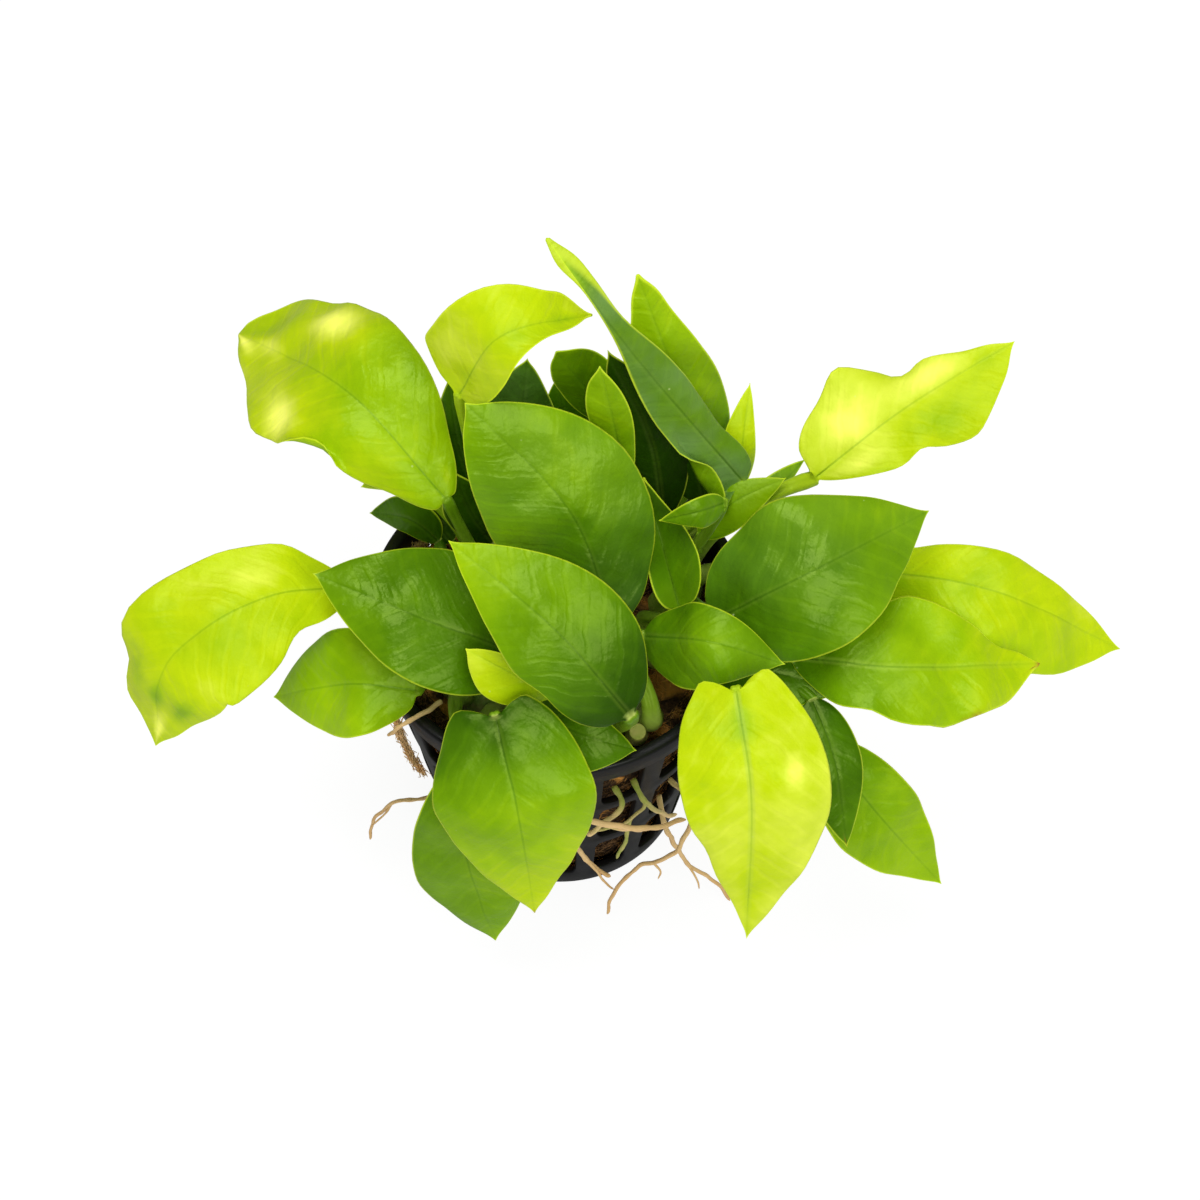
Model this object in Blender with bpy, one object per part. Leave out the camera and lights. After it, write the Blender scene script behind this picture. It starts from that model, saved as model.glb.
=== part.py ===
"""An anubias growing in a black net pot: the pot, its wool plug, the rhizomes, every leaf and the roots.

The origin is the middle of the pot's underside, +Z is up and -Y is the front. Places in the tables are
millimetres; everything that is built is metres.
"""
import math
from collections import namedtuple

import bpy
from mathutils import Vector

MM = 0.001
UP = Vector((0, 0, 1))
GAP = 0.35

# The pot: a standard small net pot, 54 mm across its lip
POT_HEIGHT = 48.0
BASE_RADIUS = 18.2
COLLAR_RADIUS = 25.4
LIP_RADIUS = 27.0
COLLAR_FOOT = 43.4
WALL = 1.2
FLOOR = 1.6
SLOT_COLUMNS = 16
SLOT_ROWS = 3
SLOT_SHARE = 0.64
FIRST_SLOT = 4.5
RIB_HEIGHT = 2.4
SLOT_MARGIN = 1.0
COLLAR_FLARE = 0.5
LIP_INSET = 0.4

# The wool plug that fills it
PLUG_TOP = 39.1
PLUG_SIDES = 16
PLUG_LEVELS = (2.2, 14.0, 27.0, 37.6)
PLUG_SHOULDER = 2.5
PLUG_LUMPS = 5
LUMP_SIZE = 0.3

# Leaf build: points round a section, and sections along the petiole and the blade
SECTION_SIDES = 8
PETIOLE_RINGS = 4
BLADE_STEPS = (0.03, 0.12, 0.26, 0.42, 0.58, 0.74, 0.88, 0.96)
BLADE_THICKNESS = 0.7
BASE_ROUNDNESS = 0.6
TIP_PINCH = 0.45
TIP_REACH = 0.05
BEND_STEPS = 16
CREASE_SPREAD = 0.12
PETIOLE_RISE = 4
STALK_FOOT = 1.25
STALK_TOP = 0.9

# Sections along a rhizome, the stub and each stretch of a root
RHIZOME_RINGS = 10
FOOT_STAND = 1.07
STUB_RINGS = 3
ROOT_RINGS = 3
ROOT_SIDES = 5

Rhizome = namedtuple("Rhizome", "path radius")
Half = namedtuple("Half", "width fold curl widest blunt")
Leaf = namedtuple("Leaf", "foot via spine face left right heart twist pulls rolls stalk")
Root = namedtuple("Root", "path thick thin")

RHIZOMES = {
    "front": Rhizome([(-17, -8, 43.9), (-5, -15, 44.2), (14, -15, 43.9)], 3.6),
    "left": Rhizome([(-17, 3, 43.8), (-7, 9, 44.2), (5, 16, 43.8)], 3.4),
    "right": Rhizome([(12, -6, 43.8), (17, 4, 44.2), (15, 13, 43.8)], 3.4),
}

LIME = (0.55, 0.72, 0.03)
FRESH = (0.30, 0.52, 0.03)
DEEP = (0.09, 0.24, 0.02)
LIME_LEAVES = ("upper_gold", "far_left", "small_gold", "front_right", "far_right", "upper_right", "back_gold",
               "pale_edge", "left_small_two")
DEEP_LEAVES = ("centre_big", "left_dark", "front_shade", "right_dark", "low_dark", "tall", "inner_dark",
               "back_dark_one", "back_dark_two", "left_small_one", "inner_left")


def half(width, fold=0, curl=-15, widest=0.42, blunt=0.95):
    """Half a blade: its width, its rise at the midrib and bend at the edge in degrees, and its outline."""
    return Half(width, fold, curl, widest, blunt)


def leaf(foot, via, spine, face, left, right, heart=0.0, twist=0, pulls=(), rolls=(), stalk=0.9):
    """foot: rhizome, share along it and lean in degrees. via and spine: points of petiole and midrib.

    pulls move stretches of an edge: side (-1 left, 1 right), share, spread, outward and upward millimetres.
    rolls turn stretches of an edge up and over: side, share, spread, degrees and place of the crease.
    """
    return Leaf(foot, via, spine, face, left, right, heart, twist, pulls, rolls, stalk)


LEAVES = {
    "leaf_upper_left": leaf(
        ("left", 0.30, 35), (-13, 6, 57), [(-15, 6, 66), (-29, 19, 74), (-46, 38, 62)], (-1, -4, 9),
        half(11.5, curl=-20, widest=0.5, blunt=0.6), half(12, curl=-20, widest=0.55, blunt=0.65), heart=1,
        pulls=((-1, 0.12, 0.08, -1, 0), (-1, 0.3, 0.1, -1.2, 0), (-1, 0.7, 0.09, 1.5, 0),
               (-1, 0.92, 0.1, -1, 0), (1, 0.9, 0.09, 2.3, 0), (1, 0.98, 0.03, 1, 0)),
        rolls=((-1, 0.40, 0.10, 165, 0.86),)),
    "leaf_upper_gold": leaf(
        ("left", 0.48, -35), (-12, 14, 66), [(-13, 13, 81), (-7, 13, 94), (5, 19, 91)], (-2, -6, 5),
        half(7.6, 0, 5, widest=0.36), half(5.6, 12, 15, widest=0.4),
        pulls=((-1, 0.15, 0.12, 1.3, 0), (-1, 0.86, 0.08, 1, 0), (1, 0.66, 0.2, -1.6, 0))),
    "leaf_centre_big": leaf(
        ("front", 0.97, 40), (14, -18, 54), [(8, -9, 56), (2, 0, 72), (-12, 8, 86)], (0, -5, 6),
        half(11, widest=0.52, blunt=0.85), half(11, widest=0.5, blunt=0.85), stalk=1.1),
    "leaf_centre_front": leaf(
        ("front", 0.84, 40), (11, -22, 53), [(10, -26, 62), (0, -20, 74), (-14, -10, 80)], (-1, -4, 7),
        half(8.6, widest=0.36), half(9.2), stalk=1.2, pulls=((-1, 0.28, 0.14, -1.4, 0),)),
    "leaf_left_dark": leaf(
        ("front", 0.54, -20), (-1, -13, 52), [(-3, -14, 57), (-17, -13, 65), (-33, -6, 66)], (0, -3, 9),
        half(8.7), half(11, widest=0.48)),
    "leaf_far_left": leaf(
        ("left", 0.06, 30), (-22, 0, 56),
        [(-28, -3, 58), (-39, -7, 62), (-50, -13, 60), (-54, -16, 55), (-56, -19, 42)], (-1, -4, 8),
        half(11, widest=0.55), half(9.5, widest=0.55),
        pulls=((-1, 0.2, 0.07, -1.3, 0), (-1, 0.62, 0.05, -0.6, 0), (-1, 0.84, 0.08, -0.5, 0),
               (1, 0.2, 0.14, 0.8, 0), (1, 0.74, 0.05, -1, -1), (1, 0.86, 0.04, 1, 0))),
    "leaf_lower_left": leaf(
        ("front", 0.06, 30), (-18, -12, 52), [(-19, -16, 52), (-29, -15, 52), (-40, -11, 42)], (0, -4, 8),
        half(7.4), half(8)),
    "leaf_small_gold": leaf(
        ("front", 0.68, 10), (4, -15, 54), [(2, -20, 59), (-4, -21, 63), (-12, -18, 66)], (-1, -6, 6),
        half(5, widest=0.62), half(2, widest=0.6)),
    "leaf_front_big": leaf(
        ("front", 0.40, 50), (-7, -24, 54), [(-8, -26, 62), (-5, -37, 56), (-3, -41, 34)], (0, -6, 5),
        half(10.8, curl=-20, widest=0.35), half(11.6, curl=-20, widest=0.34), heart=3),
    "leaf_front_under": leaf(
        ("front", 0.24, 40), (-13, -22, 52), [(-14, -27, 50), (-13, -32, 36), (-9, -35, 14)], (0, -8, 3),
        half(8, widest=0.55), half(8, widest=0.55)),
    "leaf_front_shade": leaf(
        ("front", 0.56, 50), (-4, -18, 50), [(-4, -19, 52), (3, -24, 54), (11, -25, 51)], (0, -5, 7),
        half(4), half(6.5)),
    "leaf_front_right": leaf(
        ("right", 0.00, 40), (25, -24, 55), [(24, -25, 67), (26, -38, 60), (26, -46, 36)], (0, -6, 5),
        half(11, curl=-20, widest=0.36), half(9.8, curl=-20, widest=0.31, blunt=1.25), heart=3.4),
    "leaf_right_dark": leaf(
        ("right", 0.30, -20), (20, -3, 57), [(21, -10, 60), (35, -8, 70), (51, 3, 68)], (0, -4, 8),
        half(11), half(11)),
    "leaf_right_arch": leaf(
        ("right", 0.02, -45), (11, -8, 54), [(12, -11, 58), (21, -17, 66), (31, -18, 62)], (0, -5, 8),
        half(5, curl=-20), half(7, curl=-20)),
    "leaf_right_wavy": leaf(
        ("right", 0.36, 40), (25, -6, 55), [(32, -13, 56), (47, -16, 58), (67, -11, 51)], (0, -4, 8),
        half(9), half(8, widest=0.5),
        pulls=((-1, 0.48, 0.12, 1.3, 0), (-1, 0.82, 0.08, -1.2, 0), (1, 0.33, 0.08, -1, 1),
               (1, 0.62, 0.06, 1, -1), (1, 0.86, 0.1, 1.6, 0))),
    "leaf_far_right": leaf(
        ("right", 0.58, 40), (30, 4, 52), [(40, 5, 51), (60, -2, 56), (80, -3, 42)], (0, -4, 8),
        half(5.6, widest=0.5), half(9.8, widest=0.6)),
    "leaf_upper_right": leaf(
        ("right", 0.72, 30), (24, 8, 62), [(36, 14, 60), (49, 22, 66), (64, 29, 72)], (1, -4, 7),
        half(8, curl=-10, widest=0.3, blunt=0.9), half(8.4, curl=-10, widest=0.58, blunt=0.9), stalk=1.4,
        pulls=((-1, 0.34, 0.09, 2.4, 2), (-1, 0.53, 0.09, -2.6, -2), (-1, 0.75, 0.12, -1, 0),
               (1, 0.44, 0.08, -1.8, 1), (1, 0.68, 0.08, 0.6, -1))),
    "leaf_low_dark": leaf(
        ("right", 0.25, 55), (27, -10, 54), [(35, -18, 53), (38, -26, 50), (40, -34, 40)], (2, -6, 5),
        half(4, curl=-10), half(5, curl=-10)),
    "leaf_low_right": leaf(
        ("right", 0.12, 60), (26, -13, 54), [(37, -20, 44), (45, -26, 35), (55, -29, 20)], (2, -6, 5),
        half(6, curl=-10), half(7, curl=-10)),
    "leaf_tall": leaf(
        ("right", 0.74, -30), (20, 10, 55), [(26, 12, 62), (13, 13, 85), (6, 14, 98), (-1, 19, 107)],
        (2, -6, 4), half(8, curl=-10, widest=0.1, blunt=2.2), half(5, curl=-10, widest=0.28, blunt=1.5),
        pulls=((-1, 0.26, 0.09, -1.2, 0), (-1, 0.5, 0.12, 0.5, 0), (1, 0.25, 0.18, -2.3, 0),
               (1, 0.85, 0.1, 1.2, 0)),
        rolls=((-1, 0.08, 0.12, 165, 0.6),)),
    "leaf_tall_back": leaf(
        ("right", 0.90, -20), (19, 17, 52), [(22, 20, 58), (16, 20, 78), (11, 25, 92)], (1, -6, 3),
        half(6, curl=-10), half(5.5, curl=-10), pulls=((-1, 0.62, 0.15, 1.5, 0),)),
    "leaf_back_gold": leaf(
        ("right", 0.99, 30), (22, 16, 51), [(26, 17, 54), (26, 18, 63), (27, 24, 69)], (1, -6, 3),
        half(3, curl=-10), half(2, curl=-10)),
    "leaf_inner_dark": leaf(
        ("left", 0.94, 30), (11, 13, 48), [(15, 12, 53), (13, 15, 68), (7, 16, 87)], (0, -6, 3),
        half(5, curl=-10), half(5, curl=-10)),
    "leaf_upper_small": leaf(
        ("left", 0.97, -30), (6, 19, 50), [(10, 21, 60), (4, 21, 72), (0, 21, 80)], (0, -6, 3),
        half(3.6, curl=-10, widest=0.6, blunt=0.6), half(5, curl=-10, widest=0.6, blunt=0.5)),
    "leaf_pale_edge": leaf(
        ("left", 0.74, 35), (6, 9, 52), [(10, 9, 62), (8, 10, 78), (6, 11, 90)], (0, -6, 3),
        half(3.4, curl=-10, widest=0.66, blunt=0.7), half(2.6, curl=-10, widest=0.6)),
    "leaf_inner_curled": leaf(
        ("right", 0.14, -20), (15, -6, 52), [(17, -6, 57), (15, 1, 60), (12, 10, 66)], (0, -6, 4),
        half(3.5, 30, 10, widest=0.3), half(6, 30, 10, widest=0.3)),
    "leaf_inner_wavy": leaf(
        ("right", 0.50, -5), (22, 5, 60), [(23, 5, 67), (19, 2, 69), (14, 2, 67)], (0, -6, 4),
        half(2.8, widest=0.35), half(2, widest=0.35)),
    "leaf_back_dark_one": leaf(
        ("left", 0.64, -35), (-6, 17, 48), [(-6, 19, 54), (-5, 21, 66), (-4, 23, 76)], (0, -6, 3),
        half(6), half(5)),
    "leaf_back_dark_two": leaf(
        ("left", 0.80, -35), (1, 18, 50), [(2, 19, 54), (1, 22, 62), (0, 26, 68)], (0, -6, 3),
        half(4), half(4)),
    "leaf_left_small_one": leaf(
        ("left", 0.14, -35), (-16, 8, 49), [(-17, 10, 50), (-21, 12, 53), (-27, 15, 50)], (0, -6, 4),
        half(2.8), half(3.2)),
    "leaf_left_small_two": leaf(
        ("left", 0.32, -35), (-13, 10, 53), [(-19, 15, 55), (-24, 15, 58), (-28, 16, 55)], (0, -6, 4),
        half(2), half(2)),
    "leaf_right_young": leaf(
        ("right", 0.86, 35), (24, 11, 50), [(27, 13, 56), (31, 14, 58), (35, 18, 59)], (0, -6, 4),
        half(2, curl=-10), half(1, curl=-10)),
    "leaf_inner_left": leaf(
        ("left", 0.54, 30), (-7, 7, 51), [(-9, 8, 53), (-12, 9, 59), (-14, 10, 67)], (0, -6, 4),
        half(4, curl=-10), half(4, curl=-10)),
}

# A petiole that was cut off short: its rhizome, share and lean, its length and its radius
STUB = ("front", 0.92, 75)
STUB_LENGTH = 4.5
STUB_RADIUS = 1.2

ROOTS = {
    "root_green_left": Root([(8, -22.6, 37), (9, -25, 36), (7, -26, 33), (4, -26.5, 30)], 0.5, 0.4),
    "root_green_right": Root([(10.6, -21.4, 37), (12.5, -24, 35), (15, -22.5, 29), (17, -21, 26)], 0.5, 0.35),
    "root_tan_across": Root(
        [(1, -23, 36), (3, -27.5, 37), (8, -28.5, 36.5), (13, -27, 33), (18, -24, 30)], 0.6, 0.4),
    "root_tan_right": Root(
        [(14.5, -15.5, 22), (15.5, -20, 20), (17.5, -20, 14), (19, -20.5, 10), (21, -20, 7), (23.5, -20.5, 4),
         (25.5, -22, 1.5)], 0.5, 0.3),
    "root_tan_down": Root(
        [(16, -14.5, 25), (19.5, -18.5, 24), (17.5, -22.5, 19), (14, -23, 15.5), (11.5, -23, 14), (8, -24.5, 9),
         (7, -25.5, 4)], 0.5, 0.3),
    "root_tan_low": Root([(1, -19.6, 19), (3, -22.5, 18), (5, -22.8, 14), (7.5, -22.8, 11)], 0.5, 0.35),
    "root_far_left": Root(
        [(-15, -15, 22), (-19.5, -15.5, 21), (-24, -15.5, 20), (-27, -15.5, 15), (-28, -15.5, 9)], 0.4, 0.25),
    "root_over_rim": Root(
        [(-16, -16, 49), (-19, -19, 50), (-21.5, -20.5, 49.5), (-23.5, -19, 45)], 0.6, 0.4),
}


def vec(place):
    return Vector(place)


def smooth(value, low, high):
    """0 below low, 1 above high, and an even rise between."""
    t = min(max((value - low) / (high - low), 0), 1)
    return t * t * (3 - 2 * t)


def catmull(points, share):
    """A point of a smooth curve through all the points, by its share of the way."""
    ends = [2 * points[0] - points[1]] + points + [2 * points[-1] - points[-2]]
    place = min(share, 0.99999) * (len(points) - 1)
    i = int(place)
    t = place - i
    a, b, c, d = ends[i:i + 4]
    return 0.5 * (2 * b + (c - a) * t + (2 * a - 5 * b + 4 * c - d) * t * t + (3 * b - a - 3 * c + d) * t ** 3)


def evenly(curve, shares, samples=80):
    """Points of a curve at shares of its length, not of its parameter."""
    line = [curve(i / samples) for i in range(samples + 1)]
    run = [0.0]
    for a, b in zip(line, line[1:]):
        run.append(run[-1] + (b - a).length)
    found = []
    for share in shares:
        goal = share * run[-1]
        i = max(k for k in range(samples) if run[k] <= goal + 1e-9)
        step = (goal - run[i]) / max(run[i + 1] - run[i], 1e-9)
        found.append(line[i].lerp(line[i + 1], step))
    return found


def rhizome_point(name, share):
    return catmull([vec(p) for p in RHIZOMES[name].path], share)


def rhizome_radius(name, share):
    """Ringed and lumpy, thinner at both ends."""
    ends = math.sin(math.pi * min(max(share, 0.03), 0.97)) ** 0.35
    rings = 1 + 0.07 * math.sin(share * 34 + len(name))
    return RHIZOMES[name].radius * ends * rings


def foot_of(where):
    """Where a petiole leaves its rhizome, and the way that it leaves."""
    name, share, lean = where
    along = (rhizome_point(name, share + 0.01) - rhizome_point(name, share - 0.01)).normalized()
    across = along.cross(UP).normalized()
    top = across.cross(along)
    angle = math.radians(lean)
    out = top * math.cos(angle) + across * math.sin(angle)
    return rhizome_point(name, share) + out * (RHIZOMES[name].radius * FOOT_STAND + GAP), out


def petiole_curve(piece):
    start, out = foot_of(piece.foot)
    rise, via, base = start + out * PETIOLE_RISE, vec(piece.via), vec(piece.spine[0])

    def at(t):
        u = 1 - t
        return start * u ** 3 + rise * (3 * u * u * t) + via * (3 * u * t * t) + base * t ** 3
    return at


def turn(normal, old, new):
    """Carry a normal along as the direction changes, with no twist of its own."""
    carried = old.rotation_difference(new) @ normal
    return (carried - new * carried.dot(new)).normalized()


def tangents(points):
    last = len(points) - 1
    return [(points[min(i + 1, last)] - points[max(i - 1, 0)]).normalized() for i in range(last + 1)]


def half_width(side, share):
    """Round at the base, widest at its own place, and drawn out to a point."""
    bent = share ** (math.log(0.5) / math.log(side.widest))
    power = BASE_ROUNDNESS if share < side.widest else side.blunt
    pinch = 1 - TIP_PINCH * math.exp(-((1 - share) / TIP_REACH) ** 2)
    return side.width * pinch * max(math.sin(math.pi * bent), 0) ** power


def slope_at(piece, share, side, place):
    """Degrees that the blade rises at a place between its midrib, 0, and its margin, 1."""
    part = piece.right if side > 0 else piece.left
    slope = part.fold + part.curl * place
    for edge, middle, spread, degrees, crease in piece.rolls:
        if edge * side > 0:
            strength = math.exp(-((share - middle) / spread) ** 2)
            slope += degrees * strength * smooth(place, crease - CREASE_SPREAD, crease + CREASE_SPREAD)
    return slope


def across_blade(piece, share, side):
    """Sideways and upward place of a point of the blade, side running from -1 to 1."""
    reach = abs(side)
    step = half_width(piece.right if side > 0 else piece.left, share) * reach / BEND_STEPS
    out, lift = 0.0, 0.0
    for i in range(BEND_STEPS):
        slope = math.radians(slope_at(piece, share, side, reach * (i + 0.5) / BEND_STEPS))
        # A margin that rolls right over ends at its crease
        if math.cos(slope) < 0:
            break
        out += step * math.cos(slope)
        lift += step * math.sin(slope)
    for edge, middle, spread, outward, upward in piece.pulls:
        if edge * side > 0:
            strength = reach ** 2 * math.exp(-((share - middle) / spread) ** 2)
            out += outward * strength
            lift += upward * strength
    return math.copysign(out, side) if side else 0.0, lift


def lobe_at(piece, share, side):
    """How far back a place at the base of a heart-shaped blade reaches."""
    part = piece.right if side > 0 else piece.left
    if share >= part.widest:
        return 0.0
    spread = half_width(part, share) / part.width
    return piece.heart * math.sin(math.pi * math.sqrt(spread)) * abs(side) ** 1.3


def blade_frames(piece, shares):
    """Place, direction, rightward and upward of the midrib at each share of the blade."""
    spine = [vec(p) for p in piece.spine]
    line = evenly(lambda t: catmull(spine, t), shares)
    ways = tangents(line)
    middle = min(range(len(shares)), key=lambda i: abs(shares[i] - 0.5))
    face = vec(piece.face)
    normals = [None] * len(shares)
    normals[middle] = (face - ways[middle] * face.dot(ways[middle])).normalized()
    for i in range(middle + 1, len(shares)):
        normals[i] = turn(normals[i - 1], ways[i - 1], ways[i])
    for i in range(middle - 1, -1, -1):
        normals[i] = turn(normals[i + 1], ways[i + 1], ways[i])
    frames = []
    for share, place, way, normal in zip(shares, line, ways, normals):
        angle = math.radians(piece.twist) * (share - 0.5)
        right = way.cross(normal)
        up = normal * math.cos(angle) - right * math.sin(angle)
        frames.append((place, way, way.cross(up), up))
    return frames


def leaf_rings(piece):
    """Sections from the petiole's foot to just short of the tip, and the tip itself."""
    frames = blade_frames(piece, (0.0,) + BLADE_STEPS + (1.0,))
    stalk_line = evenly(petiole_curve(piece), [i / PETIOLE_RINGS for i in range(PETIOLE_RINGS + 1)])
    stalk_ways = tangents(stalk_line)
    stalk_ways[0] = foot_of(piece.foot)[1]
    stalk_ways[-1] = (stalk_ways[-1] + frames[0][1]).normalized()
    normal = frames[0][3]
    way = frames[0][1]
    rings = []
    for i in range(PETIOLE_RINGS, -1, -1):
        normal = turn(normal, way, stalk_ways[i])
        way = stalk_ways[i]
        right = way.cross(normal)
        radius = piece.stalk * (STALK_FOOT + (STALK_TOP - STALK_FOOT) * i / PETIOLE_RINGS)
        ring = []
        for k in range(SECTION_SIDES):
            angle = 2 * math.pi * k / SECTION_SIDES
            ring.append(stalk_line[i] + (right * math.cos(angle) + normal * math.sin(angle)) * radius)
        rings.insert(0, ring)
    sweep = frames[1][1]
    for share, (place, way, right, up) in zip(BLADE_STEPS, frames[1:-1]):
        rings.append(blade_ring(piece, share, place, sweep, right, up))
    return rings, frames[-1][0]


def blade_ring(piece, share, place, sweep, right, up):
    """One lens-shaped section: edge, upper side, edge, lower side."""
    thick = BLADE_THICKNESS * (1 - 0.4 * share)
    ring = []
    for k in range(SECTION_SIDES):
        side = (1, 0.5, 0, -0.5, -1, -0.5, 0, 0.5)[k]
        out, lift = across_blade(piece, share, side)
        body = thick * (1 - side * side) * (0.5 if k < 4 else -0.5)
        ring.append(place + right * out + up * (lift + body) - sweep * lobe_at(piece, share, side))
    return ring


def material(name, colour, roughness):
    made = bpy.data.materials.new(name)
    made.use_nodes = True
    shader = made.node_tree.nodes["Principled BSDF"]
    shader.inputs["Base Color"].default_value = (*colour, 1)
    shader.inputs["Roughness"].default_value = roughness
    shader.inputs["Metallic"].default_value = 0
    return made


def add_object(name, points, faces, colour, roughness, sharp=50):
    mesh = bpy.data.meshes.new(name)
    mesh.from_pydata([tuple(p * MM) for p in points], [], faces)
    mesh.validate()
    mesh.update()
    mesh.materials.append(material(name, colour, roughness))
    mesh.shade_smooth()
    mesh.set_sharp_from_angle(angle=math.radians(sharp))
    made = bpy.data.objects.new(name, mesh)
    bpy.context.scene.collection.objects.link(made)
    return made


def loft(rings, tip=None):
    """Faces that join the rings, a flat cap on the first, and a point or a flat cap on the last."""
    sides = len(rings[0])
    points = [p for ring in rings for p in ring]
    faces = [list(range(sides))]
    for i in range(len(rings) - 1):
        for k in range(sides):
            a, b = i * sides + k, i * sides + (k + 1) % sides
            faces.append([a, a + sides, b + sides, b])
    last = (len(rings) - 1) * sides
    if tip is None:
        faces.append([last + k for k in range(sides)][::-1])
    else:
        points.append(tip)
        for k in range(sides):
            faces.append([last + k, len(points) - 1, last + (k + 1) % sides])
    return points, faces


def tube_rings(line, radii, sides, first_way=None):
    """Round sections along a line, seen against a normal that turns as little as it can."""
    ways = tangents(line)
    if first_way is not None:
        ways[0] = first_way
    normal = ways[0].orthogonal().normalized()
    rings = []
    for i, (place, way) in enumerate(zip(line, ways)):
        normal = turn(normal, ways[max(i - 1, 0)], way)
        right = way.cross(normal)
        ring = []
        for k in range(sides):
            angle = 2 * math.pi * k / sides
            ring.append(place + (right * math.cos(angle) + normal * math.sin(angle)) * radii[i])
        rings.append(ring)
    return rings


def build_leaves():
    for name, piece in LEAVES.items():
        rings, tip = leaf_rings(piece)
        points, faces = loft(rings, tip)
        kind = name.removeprefix("leaf_")
        tint = LIME if kind in LIME_LEAVES else DEEP if kind in DEEP_LEAVES else FRESH
        add_object(name, points, faces, tint, 0.4)


def build_rhizomes():
    shares = [i / RHIZOME_RINGS for i in range(RHIZOME_RINGS + 1)]
    for name in RHIZOMES:
        line = evenly(lambda t, n=name: rhizome_point(n, t), shares)
        radii = [rhizome_radius(name, share) for share in shares]
        points, faces = loft(tube_rings(line, radii, SECTION_SIDES))
        add_object(f"rhizome_{name}", points, faces, (0.33, 0.42, 0.12), 0.6)


def wall_radius(height):
    """Outside of the tapered wall."""
    return BASE_RADIUS + (COLLAR_RADIUS - BASE_RADIUS) * min(height / COLLAR_FOOT, 1)


def build_pot():
    """A lattice of slots and ribs between a flat floor and a lipped collar."""
    slot = (COLLAR_FOOT - SLOT_MARGIN - FIRST_SLOT - (SLOT_ROWS - 1) * RIB_HEIGHT) / SLOT_ROWS
    levels = [0.0]
    for row in range(SLOT_ROWS):
        levels += [FIRST_SLOT + row * (slot + RIB_HEIGHT), FIRST_SLOT + row * (slot + RIB_HEIGHT) + slot]
    levels += [COLLAR_FOOT]
    angles = []
    for column in range(SLOT_COLUMNS):
        middle = 360 / SLOT_COLUMNS * column - 90
        spread = 180 / SLOT_COLUMNS * SLOT_SHARE
        angles += [math.radians(middle - spread), math.radians(middle + spread)]
    across = len(angles)
    points, faces, spots = [], [], {}

    def spot(level, column, layer):
        """Index of a lattice point: layer 0 is the outside of the wall and layer 1 the inside."""
        key = (level, column % across, layer)
        if key not in spots:
            height = levels[level] if (level or layer == 0) else FLOOR
            radius = wall_radius(height) - WALL * layer
            angle = angles[column % across]
            spots[key] = len(points)
            points.append(Vector((radius * math.cos(angle), radius * math.sin(angle), height)))
        return spots[key]

    def is_slot(level, column):
        return level % 2 == 1 and level < len(levels) - 1 and column % 2 == 0

    for level in range(len(levels) - 1):
        for column in range(across):
            if is_slot(level, column):
                a, b = (level, column), (level, column + 1)
                c, d = (level + 1, column + 1), (level + 1, column)
                for one, two in ((a, b), (b, c), (c, d), (d, a)):
                    faces.append([spot(*one, 0), spot(*one, 1), spot(*two, 1), spot(*two, 0)][::-1])
                continue
            for layer in (0, 1):
                quad = [spot(level, column, layer), spot(level, column + 1, layer),
                        spot(level + 1, column + 1, layer), spot(level + 1, column, layer)]
                faces.append(quad if layer == 0 else quad[::-1])
    top = len(levels) - 1
    collar = ((LIP_RADIUS - COLLAR_FLARE, COLLAR_FOOT), (LIP_RADIUS, POT_HEIGHT),
              (COLLAR_RADIUS - LIP_INSET, POT_HEIGHT))
    rings = [[spot(top, column, 0) for column in range(across)]]
    for radius, height in collar:
        ring = []
        for angle in angles:
            ring.append(len(points))
            points.append(Vector((radius * math.cos(angle), radius * math.sin(angle), height)))
        rings.append(ring)
    rings.append([spot(top, column, 1) for column in range(across)])
    for lower, upper in zip(rings, rings[1:]):
        for column in range(across):
            after = (column + 1) % across
            faces.append([lower[column], lower[after], upper[after], upper[column]])
    faces.append([spot(0, column, 0) for column in range(across)][::-1])
    faces.append([spot(0, column, 1) for column in range(across)])
    add_object("net_pot", points, faces, (0.02, 0.02, 0.022), 0.45, sharp=30)


def build_plug():
    """Wool pressed into the pot, with a lumpy top."""
    rings = []
    for level in PLUG_LEVELS + (PLUG_TOP,):
        ring = []
        inset = GAP + WALL + (PLUG_SHOULDER if level > PLUG_LEVELS[-1] else 0)
        for k in range(PLUG_SIDES):
            angle = 2 * math.pi * k / PLUG_SIDES
            lump = LUMP_SIZE * (math.sin(PLUG_LUMPS * angle + level) - 1) - 0.1
            radius = (wall_radius(level) - inset) * math.cos(math.pi / (2 * SLOT_COLUMNS)) + lump
            ring.append(Vector((radius * math.cos(angle), radius * math.sin(angle), level)))
        rings.append(ring)
    points, faces = loft([ring[::-1] for ring in rings])
    add_object("wool_plug", points, faces, (0.10, 0.06, 0.035), 0.95)


def build_stub():
    foot, out = foot_of(STUB)
    rise = (out + 2 * UP).normalized()
    line = [foot + rise * (STUB_LENGTH * i / STUB_RINGS) for i in range(STUB_RINGS + 1)]
    points, faces = loft(tube_rings(line, [STUB_RADIUS] * len(line), SECTION_SIDES, first_way=out))
    add_object("petiole_stub", points, faces, FRESH, 0.5)


def build_roots():
    for name, piece in ROOTS.items():
        path = [vec(p) for p in piece.path]
        steps = ROOT_RINGS * (len(path) - 1)
        line = evenly(lambda t, p=path: catmull(p, t), [i / steps for i in range(steps + 1)])
        radii = [piece.thick + (piece.thin - piece.thick) * i / steps for i in range(steps + 1)]
        points, faces = loft(tube_rings(line, radii, ROOT_SIDES))
        add_object(name, points, faces, (0.62, 0.42, 0.20), 0.6)


def clear_scene():
    for thing in list(bpy.data.objects):
        bpy.data.objects.remove(thing, do_unlink=True)


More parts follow.
